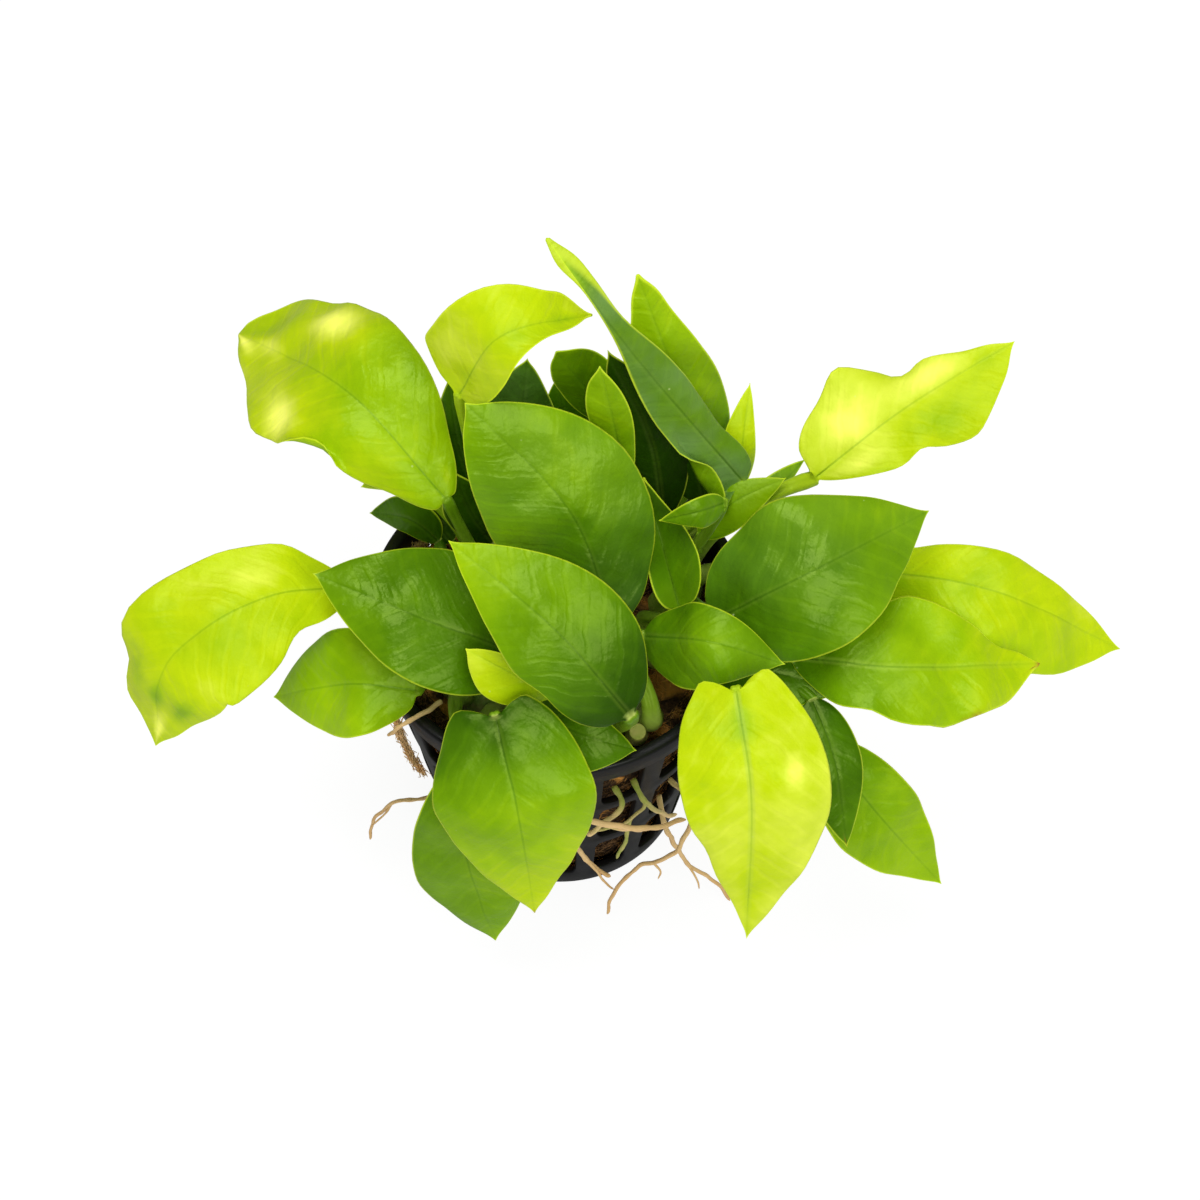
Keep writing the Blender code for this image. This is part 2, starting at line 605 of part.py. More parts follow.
def main():
    clear_scene()
    build_pot()
    build_plug()
    build_rhizomes()
    build_leaves()
    build_stub()
    build_roots()


main()
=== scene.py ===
"""The looks of an anubias in its black net pot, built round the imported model.

Every leaf, root and stem is grown again here with its veins, margins and grooves, from the same places
that the model uses. Places in the tables are millimetres; everything that is built is metres.
"""
import math
import random
from collections import namedtuple

import bpy
import numpy as np
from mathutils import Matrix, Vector, noise


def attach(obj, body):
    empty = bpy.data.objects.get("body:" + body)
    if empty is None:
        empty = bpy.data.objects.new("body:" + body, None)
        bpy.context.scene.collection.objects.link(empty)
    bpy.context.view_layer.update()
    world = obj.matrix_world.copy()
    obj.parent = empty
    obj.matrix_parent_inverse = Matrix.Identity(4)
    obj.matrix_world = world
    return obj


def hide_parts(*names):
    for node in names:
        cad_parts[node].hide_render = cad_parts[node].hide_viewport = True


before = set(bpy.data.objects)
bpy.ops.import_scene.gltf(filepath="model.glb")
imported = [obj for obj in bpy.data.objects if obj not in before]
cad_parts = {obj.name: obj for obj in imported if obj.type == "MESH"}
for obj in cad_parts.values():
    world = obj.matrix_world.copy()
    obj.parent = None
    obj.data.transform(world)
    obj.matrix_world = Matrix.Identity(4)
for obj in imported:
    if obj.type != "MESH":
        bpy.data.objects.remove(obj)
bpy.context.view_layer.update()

MM = 0.001
PER_METRE = 1000.0
FULL_TURN = 2 * math.pi
JUST_UNDER_ONE = 0.99999
UP = Vector((0, 0, 1))

# The camera: half a metre away, looking down at 57 degrees
CAMERA_TARGET = Vector((6, 17, 24))
CAMERA_DISTANCE = 500
CAMERA_ELEVATION = 57
CAMERA_LENS = 100
SENSOR_WIDTH = 36

# How bright the room is where no lamp reaches, and how bright a glossy skin sees it
AMBIENT = 0.32
MIRRORED = 0.08

# How much the floor glows, how bright a glossy skin sees it, and how far it reaches in metres
FLOOR_GLOW = 0.9
FLOOR_MIRRORED = 0.12
FLOOR_REACH = 4.0

# The lamps, in metres and watts: place, size and power, all pointed at one place
LIGHT_TARGET = (0.005, 0, 0.05)
SOFTBOXES = {
    "overhead_softbox": ((-0.10, 0.0, 1.0), (0.6, 0.5), 5.0),
    "front_fill": ((0.30, -0.75, 0.75), (0.7, 0.6), 5.2),
}

# The pot, as the model has it
POT_HEIGHT = 48.0
BASE_RADIUS = 18.2
COLLAR_RADIUS = 25.4
LIP_RADIUS = 27.0
COLLAR_FOOT = 43.4
WALL = 1.2
POT_FLOOR = 1.6
SLOT_COLUMNS = 16
SLOT_ROWS = 3
SLOT_SHARE = 0.64
FIRST_SLOT = 4.5
RIB_HEIGHT = 2.4
COLLAR_GAP = 1.0
SLOT_CORNER = 1.3
SLOT_BEVEL = 0.22

# How the pot is meshed: each slot sits in a tile of the wall, and the floor's middle is a disc
TILE_SEGMENTS = 8
TILE_FOOT = 2.6
DISC_RADIUS = 1.0

# The wool: the plug's top, the rise of its rim, the ring pressed in round it, and the loose fibres
PLUG_TOP = 39.1
CORE_TOP = PLUG_TOP - 0.4
CORE_FOOT = 2.0
WOOL_RIM = 2.4
PACKING_AT = (22.4, 41.6)
PACKING_RADIUS = 1.3
SIDE_FIBRES = 2600
TOP_FIBRES = 1500
PACKING_FIBRES = 1300
LOWEST_FIBRE = 2.4
TOP_REACH = 22
TOP_LIMIT = 23
FIBRE_POINTS = 7
FIBRE_SIDES = 3
FIBRE_BEND = 0.5
THICK_FIBRES = (0.05, 0.11)
THIN_FIBRES = (0.05, 0.1)

# Outline and folds of a blade, as the model has them
BASE_ROUNDNESS = 0.6
TIP_PINCH = 0.45
TIP_REACH = 0.05
BEND_STEPS = 24
CREASE_SPREAD = 0.12

# A petiole starts outside its rhizome, by a share of the radius and a gap, and first rises straight
RING_SWELL = 1.07
GAP = 0.35
STALK_RISE = 4

# How a leaf is meshed: columns and rings, and how much they crowd at the midrib, the margins and the ends
HALF_COLUMNS = 16
COLUMN_CROWDING = 0.62
BLADE_RINGS = 50
RING_CROWDING = 0.85
FIRST_RING = 0.003
RINGS_SPAN = 0.994
STALK_RINGS = 16

# Relief of a leaf: thickness, grooves, veins, and the waves that fade where the blade is narrow
BLADE_THICKNESS = 0.42
MIDRIB_GROOVE = 0.13
MIDRIB_WIDTH = 0.32
STALK_GROOVE = 0.26
FOOT_DEPTH = 1.3
FOOT_FLARE = 1.12
VEIN_SPACING = 3.2
VEIN_SLANT = 0.85
VEIN_BEND = 0.02
QUILT_DEPTH = 0.03
MARGIN_WAVES = 4.5
MARGINS_APART = 3.1
WAVE_GAIN = 1.6
CALM_WIDTH = 6
SWELL_SCALE = 0.16
SWELL_HEIGHT = 0.65

# Seeds that give each leaf its own waves
SEED_STEP = 7.3
YOUNG_SEED = 300

# Ripeness: the underside's and its share, the bend of the rise, a patch's breadth and where brown starts
UNDER_TONE = 0.76
UNDER_SHARE = 0.6
RIPENING_BEND = 0.62
PATCH_BREADTH = 3
BROWN_TIP = 0.965

# Stands for the margin's distance and the side of points that are on no blade
FAR = 9

Rhizome = namedtuple("Rhizome", "path radius")

# Half a blade: its width, its rise at the midrib and bend at the edge in degrees, and its outline
Half = namedtuple("Half", "width fold curl widest blunt", defaults=(0, -15, 0.42, 0.95))

# foot: rhizome, share along it and lean in degrees. via and spine: points of petiole and midrib.
# pulls move stretches of an edge: side (-1 left, 1 right), share, spread, outward and upward millimetres.
# rolls turn stretches of an edge up and over: side, share, spread, degrees and place of the crease.
Leaf = namedtuple("Leaf", "foot via spine face left right heart pulls rolls stalk",
                  defaults=(0.0, (), (), 0.9))

# base and tip: how far a leaf has ripened there, 0 for deep green, 1 for yellow-lime and 1.4 for pale
# yellow;
# below 0 is painted shade, at the dark bases and on leaves deep in the crown or under others.
# left and right: how much riper its margins are. patches: share, side, spread and amount; some are the
# leaf's own paler places, and some are painted sheen and painted shade.
# wave: the height of the margin's waves in millimetres. brown: how brown its tip is.
# frost: how blue-grey its skin is, partly a glaucous tint and partly painted sheen. rib: how pale the flanks
# of its midrib are.
Look = namedtuple("Look", "slot base tip left right patches wave brown frost rib",
                  defaults=(0.0, 0.0, (), 0.35, 0.0, 0.0, 0.08))

# A root's path, its thickness at both ends, and its age at both ends, from 0 for green to 1 for tan
Root = namedtuple("Root", "path thick thin young old")

# A point of a leaf's skin, with the values that its material reads
SkinPoint = namedtuple(
    "SkinPoint", "place ripeness margin_mm petiole underside flat share side frost browning")

RHIZOMES = {
    "front": Rhizome([(-17, -8, 43.9), (-5, -15, 44.2), (14, -15, 43.9)], 3.6),
    "left": Rhizome([(-17, 3, 43.8), (-7, 9, 44.2), (5, 16, 43.8)], 3.4),
    "right": Rhizome([(12, -6, 43.8), (17, 4, 44.2), (15, 13, 43.8)], 3.4),
}
SCAR_SPACING = 2.3

LEAVES = {
    "leaf_upper_left": Leaf(
        ("left", 0.30, 35), (-13, 6, 57), [(-15, 6, 66), (-29, 19, 74), (-46, 38, 62)], (-1, -4, 9),
        Half(11.5, curl=-20, widest=0.5, blunt=0.6), Half(12, curl=-20, widest=0.55, blunt=0.65), heart=1,
        pulls=((-1, 0.12, 0.08, -1, 0), (-1, 0.3, 0.1, -1.2, 0), (-1, 0.7, 0.09, 1.5, 0),
               (-1, 0.92, 0.1, -1, 0), (1, 0.9, 0.09, 2.3, 0), (1, 0.98, 0.03, 1, 0)),
        rolls=((-1, 0.40, 0.10, 165, 0.86),)),
    "leaf_upper_gold": Leaf(
        ("left", 0.48, -35), (-12, 14, 66), [(-13, 13, 81), (-7, 13, 94), (5, 19, 91)], (-2, -6, 5),
        Half(7.6, 0, 5, widest=0.36), Half(5.6, 12, 15, widest=0.4),
        pulls=((-1, 0.15, 0.12, 1.3, 0), (-1, 0.86, 0.08, 1, 0), (1, 0.66, 0.2, -1.6, 0))),
    "leaf_centre_big": Leaf(
        ("front", 0.97, 40), (14, -18, 54), [(8, -9, 56), (2, 0, 72), (-12, 8, 86)], (0, -5, 6),
        Half(11, widest=0.52, blunt=0.85), Half(11, widest=0.5, blunt=0.85), stalk=1.1),
    "leaf_centre_front": Leaf(
        ("front", 0.84, 40), (11, -22, 53), [(10, -26, 62), (0, -20, 74), (-14, -10, 80)], (-1, -4, 7),
        Half(8.6, widest=0.36), Half(9.2), stalk=1.2, pulls=((-1, 0.28, 0.14, -1.4, 0),)),
    "leaf_left_dark": Leaf(
        ("front", 0.54, -20), (-1, -13, 52), [(-3, -14, 57), (-17, -13, 65), (-33, -6, 66)], (0, -3, 9),
        Half(8.7), Half(11, widest=0.48)),
    "leaf_far_left": Leaf(
        ("left", 0.06, 30), (-22, 0, 56),
        [(-28, -3, 58), (-39, -7, 62), (-50, -13, 60), (-54, -16, 55), (-56, -19, 42)], (-1, -4, 8),
        Half(11, widest=0.55), Half(9.5, widest=0.55),
        pulls=((-1, 0.2, 0.07, -1.3, 0), (-1, 0.62, 0.05, -0.6, 0), (-1, 0.84, 0.08, -0.5, 0),
               (1, 0.2, 0.14, 0.8, 0), (1, 0.74, 0.05, -1, -1), (1, 0.86, 0.04, 1, 0))),
    "leaf_lower_left": Leaf(
        ("front", 0.06, 30), (-18, -12, 52), [(-19, -16, 52), (-29, -15, 52), (-40, -11, 42)], (0, -4, 8),
        Half(7.4), Half(8)),
    "leaf_small_gold": Leaf(
        ("front", 0.68, 10), (4, -15, 54), [(2, -20, 59), (-4, -21, 63), (-12, -18, 66)], (-1, -6, 6),
        Half(5, widest=0.62), Half(2, widest=0.6)),
    "leaf_front_big": Leaf(
        ("front", 0.40, 50), (-7, -24, 54), [(-8, -26, 62), (-5, -37, 56), (-3, -41, 34)], (0, -6, 5),
        Half(10.8, curl=-20, widest=0.35), Half(11.6, curl=-20, widest=0.34), heart=3),
    "leaf_front_under": Leaf(
        ("front", 0.24, 40), (-13, -22, 52), [(-14, -27, 50), (-13, -32, 36), (-9, -35, 14)], (0, -8, 3),
        Half(8, widest=0.55), Half(8, widest=0.55)),
    "leaf_front_shade": Leaf(
        ("front", 0.56, 50), (-4, -18, 50), [(-4, -19, 52), (3, -24, 54), (11, -25, 51)], (0, -5, 7),
        Half(4), Half(6.5)),
    "leaf_front_right": Leaf(
        ("right", 0.00, 40), (25, -24, 55), [(24, -25, 67), (26, -38, 60), (26, -46, 36)], (0, -6, 5),
        Half(11, curl=-20, widest=0.36), Half(9.8, curl=-20, widest=0.31, blunt=1.25), heart=3.4),
    "leaf_right_dark": Leaf(
        ("right", 0.30, -20), (20, -3, 57), [(21, -10, 60), (35, -8, 70), (51, 3, 68)], (0, -4, 8),
        Half(11), Half(11)),
    "leaf_right_arch": Leaf(
        ("right", 0.02, -45), (11, -8, 54), [(12, -11, 58), (21, -17, 66), (31, -18, 62)], (0, -5, 8),
        Half(5, curl=-20), Half(7, curl=-20)),
    "leaf_right_wavy": Leaf(
        ("right", 0.36, 40), (25, -6, 55), [(32, -13, 56), (47, -16, 58), (67, -11, 51)], (0, -4, 8),
        Half(9), Half(8, widest=0.5),
        pulls=((-1, 0.48, 0.12, 1.3, 0), (-1, 0.82, 0.08, -1.2, 0), (1, 0.33, 0.08, -1, 1),
               (1, 0.62, 0.06, 1, -1), (1, 0.86, 0.1, 1.6, 0))),
    "leaf_far_right": Leaf(
        ("right", 0.58, 40), (30, 4, 52), [(40, 5, 51), (60, -2, 56), (80, -3, 42)], (0, -4, 8),
        Half(5.6, widest=0.5), Half(9.8, widest=0.6)),
    "leaf_upper_right": Leaf(
        ("right", 0.72, 30), (24, 8, 62), [(36, 14, 60), (49, 22, 66), (64, 29, 72)], (1, -4, 7),
        Half(8, curl=-10, widest=0.3, blunt=0.9), Half(8.4, curl=-10, widest=0.58, blunt=0.9), stalk=1.2,
        pulls=((-1, 0.34, 0.09, 2.4, 2), (-1, 0.53, 0.09, -2.6, -2), (-1, 0.75, 0.12, -1, 0),
               (1, 0.44, 0.08, -1.8, 1), (1, 0.68, 0.08, 0.6, -1))),
    "leaf_low_dark": Leaf(
        ("right", 0.25, 55), (27, -10, 54), [(35, -18, 53), (38, -26, 50), (40, -34, 40)], (2, -6, 5),
        Half(4, curl=-10), Half(5, curl=-10)),
    "leaf_low_right": Leaf(
        ("right", 0.12, 60), (26, -13, 54), [(37, -20, 44), (45, -26, 35), (55, -29, 20)], (2, -6, 5),
        Half(6, curl=-10), Half(7, curl=-10)),
    "leaf_tall": Leaf(
        ("right", 0.74, -30), (20, 10, 55), [(26, 12, 62), (13, 13, 85), (6, 14, 98), (-1, 19, 107)],
        (2, -6, 4), Half(8, curl=-10, widest=0.1, blunt=2.2), Half(5, curl=-10, widest=0.28, blunt=1.5),
        pulls=((-1, 0.26, 0.09, -1.2, 0), (-1, 0.5, 0.12, 0.5, 0), (-1, 0.93, 0.06, 0.9, 0),
               (1, 0.25, 0.18, -2.3, 0), (1, 0.85, 0.1, 1.2, 0), (1, 0.93, 0.06, 0.8, 0)),
        rolls=((-1, 0.12, 0.14, 165, 0.6),)),
    "leaf_tall_back": Leaf(
        ("right", 0.90, -20), (19, 17, 52), [(22, 20, 58), (16, 20, 78), (11, 25, 92)], (1, -6, 3),
        Half(6, curl=-10), Half(5.5, curl=-10),
        pulls=((-1, 0.62, 0.15, 1.5, 0), (-1, 0.92, 0.08, 0.5, 0), (1, 0.92, 0.08, 0.5, 0))),
    "leaf_back_gold": Leaf(
        ("right", 0.99, 30), (22, 16, 51), [(26, 17, 54), (26, 18, 63), (27, 24, 69)], (1, -6, 3),
        Half(3, curl=-10), Half(2, curl=-10)),
    "leaf_inner_dark": Leaf(
        ("left", 0.94, 30), (11, 13, 48), [(15, 12, 53), (13, 15, 68), (7, 16, 87)], (0, -6, 3),
        Half(5, curl=-10), Half(5, curl=-10)),
    "leaf_upper_small": Leaf(
        ("left", 0.97, -30), (6, 19, 50), [(10, 21, 60), (4, 21, 72), (0, 21, 80)], (0, -6, 3),
        Half(3.6, curl=-10, widest=0.6, blunt=0.6), Half(5, curl=-10, widest=0.6, blunt=0.5)),
    "leaf_pale_edge": Leaf(
        ("left", 0.74, 35), (6, 9, 52), [(10, 9, 62), (8, 10, 78), (6, 11, 90)], (0, -6, 3),
        Half(3.4, curl=-10, widest=0.66, blunt=0.7), Half(2.6, curl=-10, widest=0.6)),
    "leaf_inner_curled": Leaf(
        ("right", 0.14, -20), (15, -6, 52), [(17, -6, 57), (15, 1, 60), (12, 10, 66)], (0, -6, 4),
        Half(3.5, 30, 10, widest=0.3), Half(6, 30, 10, widest=0.3)),
    "leaf_inner_wavy": Leaf(
        ("right", 0.50, -5), (22, 5, 60), [(23, 5, 67), (19, 2, 69), (14, 2, 67)], (0, -6, 4),
        Half(2.8, widest=0.35), Half(2, widest=0.35)),
    "leaf_back_dark_one": Leaf(
        ("left", 0.64, -35), (-6, 17, 48), [(-6, 19, 54), (-5, 21, 66), (-4, 23, 76)], (0, -6, 3),
        Half(6), Half(5)),
    "leaf_back_dark_two": Leaf(
        ("left", 0.80, -35), (1, 18, 50), [(2, 19, 54), (1, 22, 62), (0, 26, 68)], (0, -6, 3),
        Half(4), Half(4)),
    "leaf_left_small_one": Leaf(
        ("left", 0.14, -35), (-16, 8, 49), [(-17, 10, 50), (-21, 12, 53), (-27, 15, 50)], (0, -6, 4),
        Half(2.8), Half(3.2)),
    "leaf_left_small_two": Leaf(
        ("left", 0.32, -35), (-13, 10, 53), [(-19, 15, 55), (-24, 15, 58), (-28, 16, 55)], (0, -6, 4),
        Half(2), Half(2)),
    "leaf_right_young": Leaf(
        ("right", 0.86, 35), (24, 11, 50), [(27, 13, 56), (31, 14, 58), (35, 18, 59)], (0, -6, 4),
        Half(2, curl=-10), Half(1, curl=-10)),
    "leaf_inner_left": Leaf(
        ("left", 0.54, 30), (-7, 7, 51), [(-9, 8, 53), (-12, 9, 59), (-14, 10, 67)], (0, -6, 4),
        Half(4, curl=-10), Half(4, curl=-10)),
}

# Part of these tones is painted light and shade: tones below 0 are painted shade at the bases and on the
# leaves that lie deep in the crown or under others, such as low_dark, front_shade and inner_dark.
LOOKS = {
    # Its pale patches are partly pale places of its own and partly painted sheen.
    "leaf_upper_left": Look("fresh_leaf", 0.66, 0.92, 0.10, wave=0.5, patches=(
        (0.95, -0.2, 0.07, 0.5), (0.83, 0.05, 0.06, 0.3), (0.62, 0.60, 0.09, 0.55),
        (0.60, -0.7, 0.09, 0.5), (0.35, 0.8, 0.16, -0.14), (0.4, 0.0, 0.06, -0.08),
        (0.06, 0.6, 0.06, 0.14))),
    "leaf_upper_gold": Look("lime_leaf", 0.94, 1.00, 0.04, patches=(
        (0.55, 0.2, 0.14, -0.12), (0.2, -0.6, 0.1, 0.1), (0.85, 0.0, 0.08, -0.14))),
    # Its blue-grey tint and the lighter patch on its right half are painted sheen.
    "leaf_centre_big": Look("deep_leaf", -0.12, 0.54, 0.10, 0.04, frost=0.12, patches=(
        (0.55, 0.45, 0.16, 0.14), (0.42, 0.1, 0.04, -0.08), (0.3, -0.6, 0.1, -0.08))),
    "leaf_centre_front": Look("fresh_leaf", -0.28, 0.70, 0.08, patches=((0.5, 0.5, 0.12, 0.08),)),
    "leaf_left_dark": Look("deep_leaf", -0.10, 0.38, 0.10, patches=((0.75, -0.3, 0.1, 0.08),)),
    # Painted light and shade of the folded tip: a lighter tongue past the crest and a darker band just
    # before it.
    "leaf_far_left": Look("lime_leaf", 0.90, 0.96, 0.0, 0.04, wave=0.5, patches=(
        (0.92, -0.1, 0.08, 0.36), (0.78, -0.55, 0.05, -0.26), (0.77, 0.0, 0.05, -0.30),
        (0.75, 0.5, 0.07, -0.16), (0.64, -0.7, 0.08, 0.12), (0.3, 0.45, 0.10, 0.2),
        (0.5, -0.2, 0.12, -0.14))),
    "leaf_lower_left": Look("fresh_leaf", 0.44, 0.74, 0.08, patches=((0.5, -0.4, 0.12, 0.08),)),
    "leaf_small_gold": Look("lime_leaf", 0.70, 1.0, 0.05),
    "leaf_front_big": Look("fresh_leaf", -0.06, 1.00, 0.06, 0.04, brown=0.8, patches=(
        (0.42, -0.6, 0.14, 0.08), (0.1, 0.0, 0.08, -0.12))),
    "leaf_front_under": Look("fresh_leaf", 0.30, 0.56, 0.10, -0.10, patches=((0.7, 0.3, 0.1, -0.1),)),
    "leaf_front_shade": Look("deep_leaf", 0.06, 0.22),
    "leaf_front_right": Look("lime_leaf", 0.90, 1.06, 0.06, 0.04, rib=0.5, patches=(
        (0.29, -0.55, 0.045, 0.36), (0.62, 0.4, 0.14, 0.08), (0.42, -0.4, 0.2, 0.08),
        (0.12, 0.0, 0.07, -0.24), (0.8, 0.0, 0.12, -0.08))),
    # Its blue-grey tint is painted sheen.
    "leaf_right_dark": Look("deep_leaf", 0.00, 0.50, 0.12, 0.04, frost=0.1, patches=(
        (0.7, -0.5, 0.12, 0.12),)),
    "leaf_right_arch": Look("fresh_leaf", 0.20, 0.40, patches=((0.5, -0.1, 0.2, 0.16),)),
    "leaf_right_wavy": Look("fresh_leaf", 0.10, 0.96, 0.04, 0.04, wave=0.8, brown=1.0, rib=0.3),
    # Its pale patches are painted sheen.
    "leaf_far_right": Look("lime_leaf", 0.78, 0.92, 0.08, wave=0.5, patches=(
        (0.5, 0.35, 0.12, 0.1), (0.3, -0.5, 0.12, 0.1), (0.15, 0.2, 0.1, -0.12))),
    # Its pale patches are partly pale spots of its own and partly painted sheen, and its darker patches
    # painted shade.
    "leaf_upper_right": Look("lime_leaf", 0.96, 1.0, 0.08, wave=0.5, patches=(
        (0.25, -0.4, 0.12, 0.4), (0.62, -0.4, 0.14, 0.35), (0.2, 0.5, 0.12, 0.3),
        (0.55, 0.4, 0.14, -0.18), (0.85, 0.1, 0.1, -0.1))),
    "leaf_low_dark": Look("deep_leaf", -0.10, 0.24, 0.04, brown=0.25),
    "leaf_low_right": Look("fresh_leaf", 0.30, 0.72, 0.04, 0.10),
    "leaf_tall": Look("deep_leaf", 0.30, 0.36, frost=0.9, patches=((0.95, 0.0, 0.12, 0.5),)),
    "leaf_tall_back": Look("fresh_leaf", 0.30, 0.72, 0.06, 0.06, patches=((0.4, 0.5, 0.12, 0.1),)),
    "leaf_back_gold": Look("lime_leaf", 0.80, 0.98),
    # Painted shade: this leaf stands deep in the crown, and its tone is darkened almost to black for it.
    "leaf_inner_dark": Look("deep_leaf", -0.40, -0.16),
    "leaf_upper_small": Look("fresh_leaf", 0.10, 0.54, patches=((0.7, 0.6, 0.12, 0.1),)),
    "leaf_pale_edge": Look("lime_leaf", 0.34, 0.66),
    "leaf_inner_curled": Look("fresh_leaf", 0.40, 0.04),
    "leaf_inner_wavy": Look("fresh_leaf", 0.30, 0.40, wave=0.6),
    "leaf_back_dark_one": Look("deep_leaf", -0.04, 0.20, frost=0.3),
    "leaf_back_dark_two": Look("deep_leaf", -0.04, 0.14),
    "leaf_left_small_one": Look("deep_leaf", 0.02, 0.26),
    "leaf_left_small_two": Look("lime_leaf", 0.80, 0.92),
    "leaf_right_young": Look("fresh_leaf", 0.40, 0.56, frost=0.8),
    "leaf_inner_left": Look("deep_leaf", -0.35, 0.20),
}

# Brown places on a blade: share, side and spread
SCORCHES = {
    "leaf_right_wavy_grown": ((0.70, 0.98, 0.022), (0.97, 0.6, 0.02)),
    "leaf_low_dark_grown": ((0.95, 0.2, 0.03),),
    "leaf_front_big_grown": ((0.985, 0.0, 0.022),),
}

# Young leaves in the gaps between the others, too small and too hidden for the model
# The dark tones of most of these are painted shade, for they sit deep in the crown.
YOUNG_LEAVES = {
    "young_leaf_under_tall": (Leaf(
        ("right", 0.80, -30), (20, 14, 52), [(21, 14, 54), (19.5, 15, 62), (17.5, 18, 73)], (0, -6, 3),
        Half(4.6, curl=-10), Half(4.4, curl=-10), stalk=0.7), Look("deep_leaf", -0.30, 0.16)),
    "young_leaf_right_low": (Leaf(
        ("right", 0.20, 45), (17, -9, 52), [(19, -11, 54), (28, -14.5, 55), (40, -16.5, 53)], (0, -4, 8),
        Half(5.6), Half(5.6), stalk=0.7), Look("deep_leaf", -0.05, 0.26)),
    "young_leaf_right_sheath": (Leaf(
        ("right", 0.66, 20), (20, 6, 52), [(20, 7, 56), (25, 9.5, 61), (32, 12, 63)], (0, -4, 7),
        Half(2.6), Half(3.4), stalk=0.7), Look("fresh_leaf", 0.45, 0.62)),
    "young_leaf_left_back": (Leaf(
        ("left", 0.45, -20), (-10, 13, 51), [(-11, 14, 54), (-14, 18, 63), (-15, 21, 74)], (0, -6, 3),
        Half(3.2, curl=-10), Half(2.6, curl=-10), stalk=0.7), Look("deep_leaf", -0.30, 0.16)),
    "young_leaf_left_side": (Leaf(
        ("left", 0.20, 0), (-14, 9, 49), [(-15, 10, 50), (-18, 13, 52), (-20, 17, 52)], (0, -5, 4),
        Half(2.6), Half(2.6), stalk=0.6), Look("deep_leaf", -0.10, 0.16)),
}

# A petiole cut off short: its foot, length and radius, and the age that gives its colour
STUB = ("front", 0.92, 75)
STUB_LENGTH = 4.5
STUB_RADIUS = 1.2
STUB_AGE = 0.12

# Roots: their share of the model's thickness, their mesh, and the starting age below which one is green
ROOT_SLIMNESS = 0.86
ROOT_RINGS = 14
ROOT_SIDES = 10
SMALL_ROOT_SEED = 40
GREEN_AGES = (0.05, 0.5)
TAN_AGES = (0.45, 0.95)

ROOTS = {
    "root_green_left": Root(
        [(8, -22.6, 37), (9, -25, 36), (7, -26, 33), (4, -26.5, 30)], 0.5, 0.4, *GREEN_AGES),
    "root_green_right": Root(
        [(10.6, -21.4, 37), (12.5, -24, 35), (15, -22.5, 29), (17, -21, 26)], 0.5, 0.35, *GREEN_AGES),
    "root_tan_across": Root(
        [(1, -23, 36), (3, -27.5, 37), (8, -28.5, 36.5), (13, -27, 33), (18, -24, 30)], 0.6, 0.4, *TAN_AGES),
    "root_tan_right": Root(
        [(14.5, -15.5, 22), (15.5, -20, 20), (17.5, -20, 14), (19, -20.5, 10), (21, -20, 7),
         (23.5, -20.5, 4), (25.5, -22, 1.5)], 0.5, 0.3, *TAN_AGES),
    "root_tan_down": Root(
        [(16, -14.5, 25), (19.5, -18.5, 24), (17.5, -22.5, 19), (14, -23, 15.5), (11.5, -23, 14),
         (8, -24.5, 9), (7, -25.5, 4)], 0.5, 0.3, *TAN_AGES),
    "root_tan_low": Root(
        [(1, -19.6, 19), (3, -22.5, 18), (5, -22.8, 14), (7.5, -22.8, 11)], 0.5, 0.35, *TAN_AGES),
    "root_far_left": Root(
        [(-15, -15, 22), (-19.5, -15.5, 21), (-24, -15.5, 20), (-27, -15.5, 15), (-28, -15.5, 9)], 0.4, 0.25,
        *TAN_AGES),
    "root_over_rim": Root(
        [(-16, -16, 49), (-19, -19, 50), (-21.5, -20.5, 49.5), (-23.5, -19, 45)], 0.45, 0.3, *TAN_AGES),
}

# Roots too small for the model
SMALL_ROOTS = {
    "rootlet_fork": Root(
        [(11.8, -22.4, 33.5), (12.3, -22.6, 31.5), (11.2, -23, 30), (9, -23.4, 27)], 0.35, 0.25, 0.1, 0.4),
    "rootlet_hanging": Root([(10.3, -22.9, 28), (9.8, -23.6, 24), (8.3, -24, 18.5)], 0.38, 0.3, 0.2, 0.05),
    "rootlet_olive": Root([(3.9, -23.2, 24.5), (6, -23.8, 26.5), (8.1, -23.3, 27.5)], 0.3, 0.25, 0.3, 0.2),
    "rootlet_low_branch": Root([(4.2, -22.8, 16), (6, -23.6, 12.5), (8, -23.6, 8.5)], 0.32, 0.16, 0.7, 0.95),
    "rootlet_elbow": Root([(14, -23, 15.5), (14.8, -23.6, 13.5), (14.6, -23.9, 12)], 0.28, 0.12, 0.7, 0.9),
    "rootlet_left_fork": Root(
        [(-24, -15.5, 20), (-26.2, -16.6, 17), (-27.6, -17.2, 15.5)], 0.24, 0.12, 0.8, 0.95),
    "rootlet_right_side": Root([(19, -20.5, 10), (20.2, -21.6, 8), (20.6, -22.4, 6)], 0.24, 0.12, 0.7, 0.9),
    "rootlet_across_two": Root([(6, -28.4, 36.8), (9, -28.2, 34.5), (12, -26.4, 31)], 0.32, 0.2, 0.35, 0.6),
}

# Loose wool: its path, how far it spreads and how many fibres it has
TUFTS = (
    ([(-22.6, -16.4, 47), (-21.8, -17.6, 42), (-20.4, -18.2, 37), (-18.8, -18.6, 33)], 0.75, 260),
    ([(-22.0, 8.5, 43), (-21.0, 12.0, 44.5), (-18.8, 15.4, 43.5)], 1.2, 260),
)

